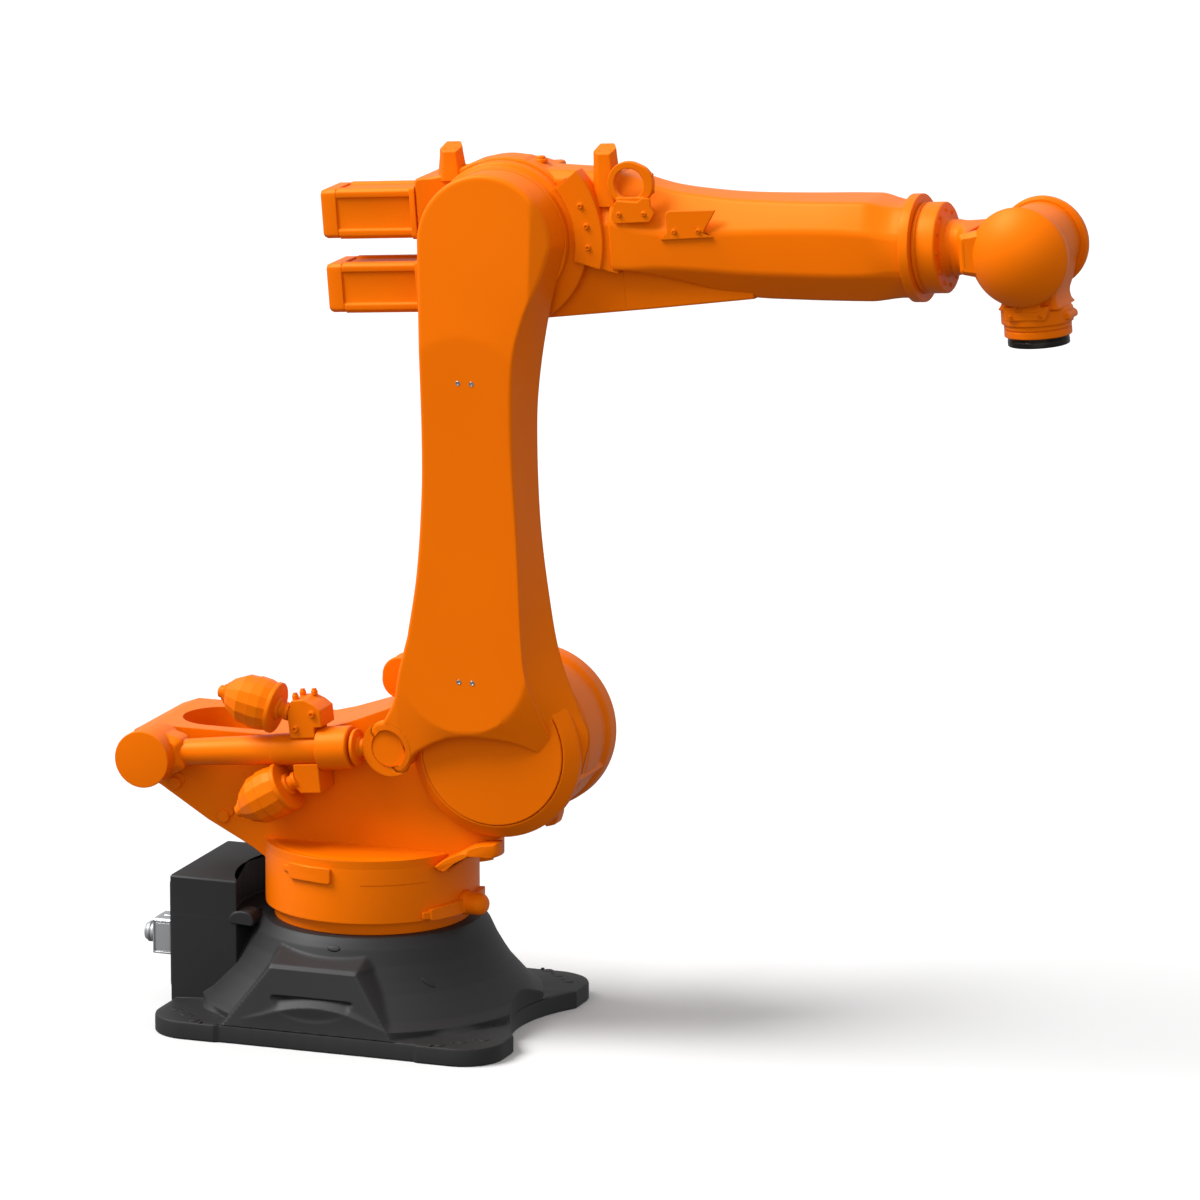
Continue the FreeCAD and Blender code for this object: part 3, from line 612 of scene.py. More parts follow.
def throat_core():
    """Middle of the throat, level with the keel below."""
    table = [(0.0, 0.15, -0.1815), (0.1, 0.146, -0.1795), (0.18, 0.14, -0.1755),
             (THROAT_END, 0.1345, -0.1715)]
    rows = [(x, rounded([(0.0583, top - 0.02), (0.0583, low), (-0.0583, low), (-0.0583, top - 0.02),
                         (-0.04, top), (0.04, top)], 0.006, closed=True))
            for x, top, low in table]
    return along_x(rows)


drum_line = [(0.0, 0.0), (0.0, 0.1765), (0.07, 0.1765), (0.092, 0.158), (0.17, 0.154), (0.184, 0.15),
             (0.1985, 0.138), (0.1985, 0.0)]
bearing_line = [(0.0, 0.0), (0.0, 0.16), (0.02, 0.16), (0.024, 0.168), (0.03, 0.171), (0.0505, 0.171),
                (0.0505, 0.0)]
near_rear = [(-0.2102, -0.1745), (-0.2102, 0.1325), (-0.168, 0.1345), (-0.125, 0.143), (-0.06, 0.169),
             (0.0, 0.1768),
             (0.06, 0.17), (0.06, -0.178), (0.0, -0.18), (-0.08, -0.1785), (-0.15, -0.1755)]
far_rear = [(-0.2102, -0.1745), (-0.2102, 0.1325), (-0.15, 0.1335), (0.08, 0.14), (0.08, -0.14),
            (-0.06, -0.16)]
housing = [spin(drum_line, (0, -0.0583, 0), (0, 1, 0), in_arm, 160, 0.005),
           slab(near_rear, -0.0584, 0.015, in_arm, corner=0.012, edge=0.005),
           slab(far_rear, 0.0, 0.1395, in_arm, corner=0.012, edge=0.006),
           throat_side(-1, 0.1992, 0.03, 0.092), throat_side(1, 0.15, 0.03, 0.101), throat_core()]
piece("elbow_housing", housing, "forearm", ORANGE, ("arm_housing",), sharp=28)
piece("bearing_ring", [spin(bearing_line, (0, -0.1077, 0), (0, 1, 0), in_arm, 160, 0.002)], "forearm",
      ORANGE,
      ("elbow_reducer",))

# %% [markdown]
# The motors are bought-in units: a square flange, a body of pressed plates with a groove along each edge,
# and a slightly smaller end cap with cut corners. All five come from one function.

# %% Motors
def motor_ring(half, groove):
    """Square ring with cut corners and a sunk panel in the middle of each side."""
    a, b, c = half, half * 0.6, half * 0.86
    quarter = [(a, -b - 0.003), (a - groove, -b), (a - groove, b), (a, b + 0.003), (a, c), (c, a)]
    ring = []
    for turn in range(4):
        c_t, s_t = math.cos(turn * math.pi / 2), math.sin(turn * math.pi / 2)
        ring += [(y * c_t - z * s_t, y * s_t + z * c_t) for y, z in quarter]
    return rounded(ring, 0.0012, steps=2, closed=True)


def motor(length, width, place):
    """Flange, grooved body, joint line and end cap, along -X from the seat at zero."""
    half = width / 2
    body, slim = motor_ring(half, 0.0055), motor_ring(half, 0.004) * 0.955
    cap, cap_end = motor_ring(half * 0.97, 0.0), motor_ring(half * 0.91, 0.0)
    rows = [(-0.0003, body * 0.99), (-0.013, body), (-length + 0.04, body), (-length + 0.0395, slim),
            (-length + 0.0365, slim), (-length + 0.036, cap), (-length + 0.008, cap), (-length, cap_end)]
    flange = rounded([(half + 0.003, half + 0.003), (-half - 0.003, half + 0.003),
                      (-half - 0.003, -half - 0.003),
                      (half + 0.003, -half - 0.003)], 0.012, closed=True)
    plate = [(-0.0004, flange), (-0.012, flange), (-0.0135, flange * 0.985)]
    screws = [screw((-0.0135, sy * (half - 0.009), sz * (half - 0.009)), (-1, 0, 0), 0.0045,
                    place) for sy in (-1, 1) for sz in (-1, 1)]
    return [along_x(rows, place), along_x(plate, place)] + screws


def seat(x, y, z, quarter_turns=(0, 0), frame_place=in_arm):
    """Returns a function that moves motor points to a seat, turned about Z and then Y by quarter turns."""
    def place(points):
        p = np.asarray(points, float)
        px, py, pz = p[..., 0], p[..., 1], p[..., 2]
        cz, sz = math.cos(quarter_turns[0] * math.pi / 2), math.sin(quarter_turns[0] * math.pi / 2)
        px, py = px * cz - py * sz, px * sz + py * cz
        cy, sy = math.cos(quarter_turns[1] * math.pi / 2), math.sin(quarter_turns[1] * math.pi / 2)
        px, pz = px * cy + pz * sy, -px * sy + pz * cy
        return frame_place(np.stack([px + x, py + y, pz + z], axis=-1))
    return place


piece("motor_upper", motor(0.228, 0.114, seat(-0.2103, 0, 0.055)), "forearm", ORANGE,
      ("wrist_motor_upper",))
piece("motor_lower", motor(0.228, 0.114, seat(-0.2103, 0, -0.112)), "forearm", ORANGE,
      ("wrist_motor_lower",))
piece("motor_elbow", motor(0.19, 0.13, seat(0, 0.1403, 0, (-1, 0))), "forearm", ORANGE, ("elbow_motor",))
piece("motor_shoulder", motor(0.215, 0.14, seat(0.34, 0.1283, 0.675, (-1, 0), in_world)), "column",
      ORANGE, ("shoulder_motor",))
piece("motor_turning", motor(0.25, 0.12, seat(0.15, 0.221, 0.4173, (0, 1), in_world)), "column", ORANGE,
      ("turning_motor",))

# %% [markdown]
# The base is one iron casting: a bell that flares from the turning bearing to four feet, an upright
# buttress on each long side with a hand pocket, and a rear box for the cables. Every level of it is a
# closed ring around the turning axis, so it is drawn as rings of one radius per angle, from top to floor.

# %% Base: how far the casting reaches at each angle and height
AROUND = 480
ANGLE = np.linspace(0, 2 * math.pi, AROUND, endpoint=False) + 0.001
COS, SIN = np.cos(ANGLE), np.sin(ANGLE)
FOOT_X, FOOT_Y, FOOT_TOP = 0.418, 0.357, 0.041
BELL = np.array([(0.06, 0.386), (0.075, 0.366), (0.104, 0.34), (0.128, 0.319), (0.152, 0.303),
                 (0.185, 0.284),
                 (0.219, 0.2685), (0.232, 0.259), (0.24, 0.252), (0.242, 0.25)])


def polar(outline):
    """Radius of a closed outline at every angle: each ray is met by the outline's dense points."""
    p = np.asarray(outline)
    a = np.unwrap(np.arctan2(p[:, 1], p[:, 0]))
    a, r = np.append(a, a[0] + 2 * math.pi), np.append(np.hypot(p[:, 0], p[:, 1]), np.hypot(*p[0]))
    return np.interp(ANGLE, a % (2 * math.pi), r, period=2 * math.pi)


def foot_outline():
    """Plan of the foot plate: rounded corners, long sides set back a little between the pads,
    scooped front.
    """
    x, y, s = FOOT_X, FOOT_Y, 0.006
    front = [(x - 0.062 * (1 - (v / 0.2) ** 2), v) for v in np.linspace(-0.2, 0.2, 25)]
    corner_a = arc(x - 0.095, y - 0.095, 0.095, 0, 90, 20)
    near_side = [(0.245, y), (0.235, y - s), (-0.235, y - s), (-0.245, y)]
    corner_b = arc(0.095 - x, y - 0.095, 0.095, 90, 180, 20)
    half = np.vstack([front[12:], corner_a, near_side, corner_b, [(-x, 0.0)]])
    whole = np.vstack([half, (half * [1, -1])[::-1][1:-1]])
    steps = [whole[k] + (whole[(k + 1) % len(whole)] - whole[k]) * f
             for k in range(len(whole)) for f in np.linspace(0, 1, 12)[:-1]]
    return np.array(steps)


FOOT = polar(foot_outline())


def smooth_max(a, b, width):
    """Larger of two, blended where they are closer than the width: max + (w - |a-b|)^2 / 4w."""
    return np.maximum(a, b) + np.maximum(width - np.abs(a - b), 0) ** 2 / (4 * width)


def buttress(z):
    """Reach of the two side buttresses: an upright trapezoid wall whose flanks fall back steeply, with a
    hand pocket that has a sloping floor below a straight crease and a half-ellipse for its lower edge."""
    side = np.maximum(np.abs(SIN), 0.2)
    wall = np.interp(z, [0, 0.045, 0.176, 0.184, 0.205, 0.225], [0.3506, 0.35, 0.322, 0.314, 0.262, 0.2])
    left = np.interp(z, [0, 0.04, 0.176], [-0.236, -0.225, -0.12])
    right = np.interp(z, [0, 0.04, 0.176], [0.192, 0.182, 0.086])
    x = wall / side * COS
    bottom = 0.111 - 0.046 * np.sqrt(np.maximum(1 - ((x + 0.015) / 0.097) ** 2, 0))
    sunk = 0.03 * np.clip((min(z, 0.111) - bottom) / 0.046, 0, 1) * (1 - soft_step(z, 0.1112, 0.119))
    over = np.maximum(np.maximum(x - right, left - x), 0)
    return (wall - sunk) / side - 1.5 * over ** 2 / (over + 0.006)


def base_ring(z):
    """Radius at every angle for one height: the bell, joined to walls and to the pads of the feet."""
    bell = np.interp(z, BELL[:, 0], BELL[:, 1]) * np.ones(AROUND)
    bell = np.minimum(bell, 0.345 / np.maximum(np.abs(SIN), 1e-3))
    whole = smooth_max(bell, buttress(z), 0.008)
    if z < 0.12:
        toe = FOOT - 0.01 - 0.105 * soft_step(z, 0.0412, 0.0475) - 2.2 * max(z - 0.0475,
                0) - 8.0 * max(z - 0.08, 0)
        whole = smooth_max(whole, np.maximum(toe, 0.1), 0.03)
    return np.minimum(whole, FOOT - 0.0005)


# %% Base: rings from the bearing to the floor
def base_surface():
    """Stack of rings. The rim at the top is turned; the foot plate below has eased edges and a flat sole."""
    levels = np.unique(np.concatenate([np.linspace(0.0475, 0.2415, 84),
                                       [0.0425, 0.044, 0.0455, 0.1105, 0.1112, 0.1125, 0.176, 0.178,
                                        0.181, 0.184]]))[::-1]
    rows = [(0.2421, np.full(AROUND, 0.218)), (0.2421, np.full(AROUND, 0.247)),
            (0.2418, np.full(AROUND, 0.249))]
    rows += [(z, base_ring(z)) for z in levels]
    edge = FOOT - 0.0125
    rows += [(FOOT_TOP + 0.0006, np.maximum(base_ring(0.0414), edge)), (FOOT_TOP, FOOT - 0.006),
             (FOOT_TOP - 0.0015, FOOT - 0.0018),
             (FOOT_TOP - 0.006, FOOT), (0.003, FOOT), (0.0, FOOT - 0.003)]
    grid = np.stack([np.column_stack([r * COS, r * SIN, np.full(AROUND, z)]) for z, r in rows])
    return grid_mesh(grid)


def flat_ring(points, z):
    """Plan points (x, y) at one height."""
    return np.column_stack([points[:, 0], points[:, 1], np.full(len(points), z)])


def stack(outline, levels):
    """Carries a plan outline (x, y) up through (z, inset) levels; every level is the outline drawn in."""
    ring = rounded(outline, 0.006, closed=True)
    middle = ring.mean(axis=0)
    away = ring - middle
    size = np.linalg.norm(away, axis=1, keepdims=True)
    return grid_mesh(np.stack([flat_ring(middle + away * (1 - inset / size), z) for z, inset in levels]))


BOX_BACK, BOX_SIDE, BOX_TOP = -0.427, 0.17, 0.327
SWEEP = 0.3125                           # radius that stays free for the turning stop nose
box_plan = [(BOX_BACK, -BOX_SIDE)] + list(arc(0, 0, SWEEP, 213, 147, 15)) + [(BOX_BACK, BOX_SIDE)]
box_low = [(BOX_BACK + 0.004, 0.001 - BOX_SIDE), (-0.264, 0.001 - BOX_SIDE), (-0.24, -0.05),
           (-0.24, 0.05), (-0.264, BOX_SIDE - 0.001),
           (BOX_BACK + 0.004, BOX_SIDE - 0.001)]


def eased_levels(z0, z1, ease):
    """Levels of an upright block whose top and bottom edges are eased."""
    return [(z0, ease), (z0 + ease, 0.0), (z1 - ease, 0.0), (z1, ease)]


parts = [base_surface(), stack(box_low, eased_levels(0.03, 0.2405, 0.004)),
         stack(box_plan, eased_levels(0.03, BOX_TOP, 0.004)),
         slab([(-0.282, 0.228), (-0.28, 0.246), (-0.262, 0.259), (-0.234, 0.258), (-0.222, 0.244),
               (-0.22, 0.225)], -0.1735, -0.12, corner=0.01, edge=0.003)]
piece("base_body", parts, "base", DARK, ("base_casting",), sharp=24)

# %% [markdown]
# Small things on the base: counterbored anchor holes in each foot and drain slots in the bell, drawn as
# flush discs with painted shade, the end cover of the cable box with its screws, and the plug with its latch
# frame and cable gland.

# %% Base: holes, slots and the plug
def dished(x, y, z, radius, long=1.0, turn=0.0, lean=(0, 0, 1)):
    """Mouth of a hole: a disc that lies flush and is painted near-black as the shade inside the hole;
    stretched along one side it is a slot.
    """
    line = [(0.0008, 0.0), (0.0008, radius), (0.0001, radius * 1.08), (-0.002, radius * 1.08),
            (-0.002, 0.0)]

    def place(p):
        c, s = math.cos(turn), math.sin(turn)
        q = np.stack([p[..., 0] * long, p[..., 1], p[..., 2]], axis=-1)
        q = np.stack([q[..., 0] * c - q[..., 1] * s, q[..., 0] * s + q[..., 1] * c, q[..., 2]], axis=-1)
        n = np.array(lean) / np.linalg.norm(lean)
        q[..., 2] -= (q[..., 0] * n[0] + q[..., 1] * n[1]) / n[2]
        return q + [x, y, z]
    return spin(line, (0, 0, 0), (0, 0, 1), place, around=24, corner=0)


# Painted shade: anchor holes and drain slots are flush discs in near-black, standing in for the dark inside
# each opening.
HOLE_SHADE_PAINT = finish("hole_shade", (0.006, 0.006, 0.006), (0.004, 0.004, 0.004), (0.01, 0.01, 0.01), rough=0.6)
DECK = (0.0434, 0.0442, 0.044)
holes = []
for sx in (-1, 1):
    for sy in (-1, 1):
        for k in (-1, 0, 1):
            bolt = (sx * (0.334 + 0.038 * k), sy * (0.302 - 0.036 * k))
            deck = DECK[k + 1]
            holes.append(dished(*bolt, deck, 0.0112))
            holes.append(dished(bolt[0] - 0.018 * sx, bolt[1] + 0.012 * sy, deck + 0.0004, 0.004))
piece("anchor_holes", holes, "base", HOLE_SHADE_PAINT)


def on_bell(x, y):
    """Height of the bell at a plan position, and its outward lean."""
    r = math.hypot(x, y)
    z = float(np.interp(r, BELL[::-1, 1], BELL[::-1, 0]))
    lower, upper = np.interp([r + 0.01, r - 0.01], BELL[::-1, 1], BELL[::-1, 0])
    slope = (upper - lower) / 0.02
    return z, (x / r * slope, y / r * slope, 1.0)


slots_at = [(0.013, -0.268, 0.05), (0.219, -0.215, 0.4), (0.013, 0.268, -0.05), (0.219, 0.215, -0.4)]
slot_parts = []
for x, y, turn in slots_at:
    z, lean = on_bell(x, y)
    slot_parts.append(dished(x, y, z + 0.002, 0.003, 4.6, turn, lean))
piece("drain_slots", slot_parts, "base", HOLE_SHADE_PAINT)


def to_rear(points):
    """Turns a plate drawn as (x across, z up, y thick) so that it faces the rear of the base."""
    p = np.asarray(points, float)
    return np.stack([p[..., 1], -p[..., 0], p[..., 2]], axis=-1)


cover = slab([(-0.156, 0.06), (0.156, 0.06), (0.156, 0.313), (-0.156, 0.313)], -0.433, -0.4272, to_rear,
             corner=0.012, edge=0.0015)
cover_screws = [screw((-0.433, y, z), (-1, 0, 0), 0.004) for y in (-0.142, 0, 0.142) for z in (0.074,
        0.186, 0.299)]
piece("cable_cover", [cover] + cover_screws, "base", DARK, ("box_cover",))

plug = [block(-0.4845, -0.4335, -0.139, -0.063, 0.131, 0.213, edge=0.004),
        block(-0.478, -0.44, -0.1405, -0.06, 0.138, 0.206, edge=0.003)]
rails = [block(-0.481, -0.437, -0.142, -0.1395, z, z + 0.003, edge=0.0008) for z in (0.134, 0.207)]
rails += [block(x, x + 0.003, -0.142, -0.1395, 0.134, 0.21, edge=0.0008) for x in (-0.481, -0.44)]
latch = block(-0.47, -0.452, -0.104, -0.098, 0.212, 0.2145, edge=0.001)
piece("plug_housing", plug + rails + [latch], "base", METAL, ("connector_housing",))
gland = [(0.0, 0.0), (0.0, 0.0185), (0.006, 0.0185), (0.0062, 0.021), (0.012, 0.0238), (0.017, 0.0238),
         (0.0175, 0.02),
         (0.02, 0.02), (0.0205, 0.0238), (0.026, 0.0238), (0.028, 0.021), (0.033, 0.019), (0.035, 0.014),
         (0.035, 0.009), (0.028, 0.008), (0.028, 0.0)]
piece("plug_gland", [spin(gland, (-0.4793, -0.101, 0.172), (-1, 0, 0), around=48, corner=0.0008)],
      "base", METAL,
      ("connector_gland",))

# %% [markdown]
# The column turns on the base. Its casting keeps its own solid, which already has the wing, its well and
# the shoulder barrel; what a foundry and a paint shop add lies around it: an eased crown on the round
# foot, a saddle under the hub, ribs around the far side of the shoulder, and the stop block.

# %% Column: plates bent around the foot
def dense(outline, step):
    """Adds points along every side of an outline so that none is longer than the step."""
    p = np.asarray(outline, float)
    out = []
    for k in range(len(p)):
        a, b = p[k], p[(k + 1) % len(p)]
        count = max(1, int(np.ceil(np.linalg.norm(b - a) / step)))
        out += [a + (b - a) * f for f in np.arange(count) / count]
    return np.array(out)


def bent_plate(outline, r0, r1, edge=0.002, corner=0.006):
    """Plate bent around the turning axis. The outline is (angle in degrees, z); both faces are drawn as
    rings that shrink to the middle, so that they follow the bend."""
    ring = rounded([(math.radians(a) * r1, z) for a, z in outline], corner, closed=True)
    ring = dense(ring, 0.006)
    middle = ring.mean(axis=0)
    shares = [0.25, 0.5, 0.75]
    size = np.linalg.norm(ring - middle, axis=1, keepdims=True)
    rows = [(middle + (ring - middle) * s, r0) for s in shares] + [(ring, r0), (ring, r1 - edge)]
    rows += [(middle + (ring - middle) * (1 - edge / size), r1)] + [(middle + (ring - middle) * s,
            r1) for s in reversed(shares)]
    grid = np.stack([np.column_stack([r * np.cos(q[:, 0] / r1), r * np.sin(q[:, 0] / r1),
                                      q[:, 1]]) for q, r in rows])
    return grid_mesh(grid)


cover_plate = bent_plate([(-117.5, 0.362), (-90.5, 0.362), (-90.5, 0.398), (-117.5, 0.398)], 0.2415,
                         0.2505)
tab = bent_plate([(-123, 0.374), (-117, 0.372), (-117, 0.39), (-123, 0.388)], 0.2415, 0.2475,
                 corner=0.003)
piece("column_cover", [cover_plate, tab], "column", ORANGE, ("side_cover",))
crown_line = [(0.0, 0.0), (0.0, 0.2424), (0.1225, 0.2424), (0.133, 0.2405), (0.141, 0.2345),
              (0.1455, 0.226), (0.1462, 0.216), (0.1462, 0.0)]
piece("column_crown", [spin(crown_line, (0, 0, 0.2722), (0, 0, 1), around=200, corner=0.0)], "column",
      ORANGE)
joint_line = bent_plate([(-75, 0.3605), (-38, 0.3605), (-38, 0.3619), (-75, 0.3619)], 0.2415, 0.2428,
                        edge=0.0003, corner=0.0003)
piece("column_joint", [joint_line], "column", ORANGE)

# %% Column: stop block and its nose
STOP_TURN = math.radians(-9.4)
stop_axis = np.array([math.cos(STOP_TURN), math.sin(STOP_TURN), 0])
band = bent_plate([(-37.4, 0.274), (14.6, 0.274), (14.6, 0.306), (-5.4, 0.308), (-23.4, 0.304),
                   (-37.4, 0.299)], 0.2415, 0.2565, corner=0.003)
lip = bent_plate([(-41.4, 0.277), (-36.4, 0.275), (-36.4, 0.295), (-41.4, 0.293)], 0.2415, 0.2515,
                 corner=0.002)
nose_line = [(0.0, 0.0), (0.0, 0.0285), (0.01, 0.0285), (0.016, 0.0262), (0.041, 0.0255), (0.05, 0.0225),
             (0.0565, 0.016), (0.0595, 0.008), (0.06, 0.0)]
nose = spin(nose_line, stop_axis * 0.2415 + [0, 0, 0.293], stop_axis, around=64, corner=0.002)
piece("stop_block", [band, lip, nose], "column", ORANGE, ("stop_nose",), sharp=40)

# %% Column: saddle, shoulder ribs, bosses
saddle = [(0.205, 0.395), (0.228, 0.414), (0.252, 0.4265), (0.276, 0.44), (0.302, 0.454), (0.35, 0.4625),
          (0.358, 0.458), (0.359, 0.441), (0.35, 0.431), (0.3, 0.427), (0.255, 0.408), (0.225, 0.385)]
shaped = run(saddle + saddle[:1], 120)[:-1]
piece("saddle", [slab(dense(shaped, 0.01), -0.15, -0.0975, corner=0.0, edge=0.008)], "column", ORANGE,
      sharp=50)
at_shoulder = (SHOULDER[0], 0.0, SHOULDER[2])
ribs = [(-0.0985, 0.0), (-0.0985, 0.176), (-0.092, 0.1792), (-0.02, 0.1792), (-0.014, 0.1815),
        (0.06, 0.1815), (0.068, 0.1775),
        (0.092, 0.1775), (0.098, 0.184), (0.106, 0.1868), (0.14, 0.1868), (0.146, 0.183),
        (0.1505, 0.172), (0.1505, 0.121),
        (0.13, 0.1175), (0.1295, 0.0)]
piece("shoulder_barrel", [spin(ribs, at_shoulder, (0, 1, 0), around=180, corner=0.003)], "column",
      ORANGE, sharp=28)
rim_screws = [screw((SHOULDER[0] + 0.146 * math.cos(a), 0.1505, SHOULDER[2] + 0.146 * math.sin(a)),
                    (0, 1, 0), 0.006)
              for a in np.linspace(0, 2 * math.pi, 16, endpoint=False)]
piece("shoulder_screws", rim_screws, "column", ORANGE)
stub = slab([(0.436, 0.486), (0.462, 0.494), (0.47, 0.52), (0.466, 0.56), (0.43, 0.56)], -0.05, -0.012,
            corner=0.006, edge=0.003)
piece("bumper_stub", [stub], "column", ORANGE)
boss_line = [(0.0, 0.0), (0.0, 0.015), (0.007, 0.0148), (0.0085, 0.0132), (0.0085, 0.0)]
bosses = [spin(boss_line, (x, -0.0978, z), (0, -1, 0), around=40, corner=0.0006) for x,
          z in ((-0.44, 0.524), (-0.322, 0.457))]
piece("wing_bosses", bosses, "column", ORANGE)
lobe_line = [(0.0, 0.0), (0.0, 0.041), (0.003, 0.0435), (0.014, 0.0435), (0.0145, 0.041), (0.05, 0.041),
             (0.0505, 0.0435), (0.06, 0.0435), (0.0625, 0.04), (0.0625, 0.0)]
piece("eye_boss", [spin(lobe_line, (0.041, 0.0688, 0.775), (0, 1, 0), around=64, corner=0.001)],
      "column", ORANGE)

# %% [markdown]
# A hydraulic balancer leans from the wing to the link arm and carries part of the arm's weight. Its drum
# swings on a pin, a tube and a collar guide the rod, and a valve block on the collar holds two gas bottles
# with faceted shells. Turned parts are profiles; the facets are the same profile with few steps around.

# %% Balancer: drum, tube, collar and rod
STRUT = math.hypot(LUG[0] - PIVOT[0], LUG[2] - PIVOT[2])
drum_line = [(-0.073, 0.0), (-0.073, 0.065), (0.02, 0.065), (0.024, 0.06), (0.046, 0.06), (0.046, 0.0)]
taper = [(-0.02, 0.052), (0.045, 0.048), (0.072, 0.038), (0.082, 0.03), (0.082, -0.03), (0.072, -0.038),
         (0.045, -0.048), (-0.02, -0.052)]
piece("drum", [spin(drum_line, (0, 0, 0), (0, 1, 0), in_strut, 96, 0.002),
               slab(taper, -0.036, 0.036, in_strut, 0.008, 0.014)],
      "balancer", ORANGE, ("balancer_drum",))
tube_line = [(0.07, 0.0), (0.07, 0.0295), (0.3, 0.0345), (0.3005, 0.0355), (0.4116, 0.0372),
             (0.4116, 0.0)]
piece("tube", [spin(tube_line, (0, 0, 0), (1, 0, 0), in_strut, 72, 0.0006)], "balancer", ORANGE,
      ("balancer_tube",))
collar_line = [(0.412, 0.0), (0.412, 0.0475), (0.4135, 0.0492), (0.485, 0.0492), (0.488, 0.0465),
               (0.488, 0.03), (0.486, 0.029), (0.486, 0.0)]
piece("collar", [spin(collar_line, (0, 0, 0), (1, 0, 0), in_strut, 72, 0.001)], "balancer", ORANGE,
      ("balancer_collar",))
rod_line = [(0.487, 0.0), (0.487, 0.0235), (0.4935, 0.0235), (0.494, 0.041), (0.5, 0.0425),
            (0.5025, 0.0405), (0.503, 0.024),
            (0.509, 0.024), (0.5095, 0.0195), (0.518, 0.0195), (0.5185, 0.0172), (STRUT - 0.036, 0.0172),
            (STRUT - 0.03, 0.012), (STRUT, 0.012), (STRUT, 0.0)]
eye_line = [(-0.013, 0.0), (-0.013, 0.034), (-0.011, 0.038), (0.011, 0.038), (0.013, 0.034), (0.013, 0.0)]
piece("rod", [spin(rod_line, (0, 0, 0), (1, 0, 0), in_strut, 56, 0.0008),
              spin(eye_line, (STRUT, 0, 0), (0, 1, 0), in_strut, 64, 0.001)],
      "balancer", ORANGE, ("balancer_rod",))

# %% Balancer: valve block and bottles
tower = [(0.35, 0.03), (0.35, 0.094), (0.358, 0.101), (0.362, 0.116), (0.392, 0.118), (0.414, 0.106),
         (0.43, 0.092), (0.43, 0.054),
         (0.4105, 0.0535), (0.4105, 0.03)]
foot_block = [(0.35, -0.03), (0.35, -0.084), (0.362, -0.096), (0.4105, -0.096), (0.4105, -0.03)]
cheek = [(0.35, -0.046), (0.35, 0.06), (0.4105, 0.06), (0.4105, -0.046)]
prongs = [spin([(0.0, 0.0), (0.0, 0.0075), (0.01, 0.0075), (0.0105, 0.0055), (0.015, 0.0055),
                (0.015, 0.0)], (x, y, 0.1165), (0, 0, 1), in_strut, 20, 0.0004)
          for x, y in ((0.368, -0.014), (0.368, 0.03), (0.396, 0.03))]
plugs = [screw((x, -0.0302, z), (0, -1, 0), 0.007, in_strut) for x, z in ((0.41, 0.084), (0.366, 0.052))]
piece("valve", [slab(tower, -0.03, 0.048, in_strut, 0.002, 0.0015),
                slab(foot_block, -0.03, 0.048, in_strut, 0.002, 0.0015),
                slab(cheek, 0.0365, 0.048, in_strut, 0.002, 0.001)] + prongs + plugs, "balancer", ORANGE,
                ("valve_block",), sharp=20)


def bottle(at, lean):
    """Gas bottle: a neck, a flange, a shell with fourteen facets and a stepped nose with a cap nut. The
    lean is the angle of its axis, turned like the rest of the balancer."""
    c, s = math.cos(lean), math.sin(lean)

    def place(p):
        x, y, z = p[..., 0], p[..., 1], p[..., 2]
        return in_strut(np.stack([x * c - z * s + at[0], y + at[1], x * s + z * c + at[2]], axis=-1))

    round_part = [(0.0, 0.0), (0.0, 0.0205), (0.01, 0.0205), (0.0105, 0.017), (0.022, 0.017),
                  (0.0225, 0.024), (0.03, 0.026), (0.03, 0.0)]
    flange = [(0.03, 0.0), (0.03, 0.056), (0.0325, 0.0585), (0.041, 0.0585), (0.041, 0.0)]
    shell = [(0.041, 0.0), (0.041, 0.0545), (0.06, 0.0592), (0.086, 0.0598), (0.086, 0.0575),
             (0.112, 0.056), (0.14, 0.04), (0.15, 0.03), (0.15, 0.0)]
    nose = [(0.149, 0.0), (0.149, 0.026), (0.155, 0.026), (0.1555, 0.0195), (0.162, 0.0195),
            (0.1625, 0.0155), (0.172, 0.014), (0.1755, 0.009), (0.1755, 0.0)]
    return [spin(round_part, (0, 0, 0), (1, 0, 0), place, 40, 0.0006),
            spin(flange, (0, 0, 0), (1, 0, 0), place, 48, 0.001),
            spin(shell, (0, 0, 0), (1, 0, 0), place, 14, 0, turn=0.12),
            spin(nose, (0, 0, 0), (1, 0, 0), place, 14, 0, turn=0.12)]


piece("bottle_upper", bottle((0.3505, -0.014, 0.088), math.radians(162)), "balancer", ORANGE,
      ("upper_accumulator",), sharp=9)
piece("bottle_lower", bottle((0.354, -0.016, -0.066), math.radians(204.5)), "balancer", ORANGE,
      ("lower_accumulator",), sharp=9)

# %% [markdown]
# On the elbow sit two lifting blocks with six-sided tops, a vent plug, a curved plate with three washer
# screws, a split ring that guides the tool's hoses, and a bent plate for a cable clip. They are bolted-on
# parts, so each has its own edges and screws.

# %% Elbow: lifting blocks and vent
TOP_LEAN = 0.38


def risen(plan, levels, at):
    """Carries a plan outline (x, y) up through (z, scale) levels, in the arm's frame."""
    ring = rounded(plan, 0.003, closed=True)
    grid = np.stack([flat_ring(ring * scale + at, z) for z, scale in levels])
    grid[-3:, :, 2] += TOP_LEAN * (grid[-3:, :, 1] - at[1])
    return grid_mesh(in_arm(grid))


block_plan = [(-0.026, -0.01), (-0.012, -0.023), (0.018, -0.023), (0.026, 0.002), (0.014, 0.023),
              (-0.02, 0.023)]


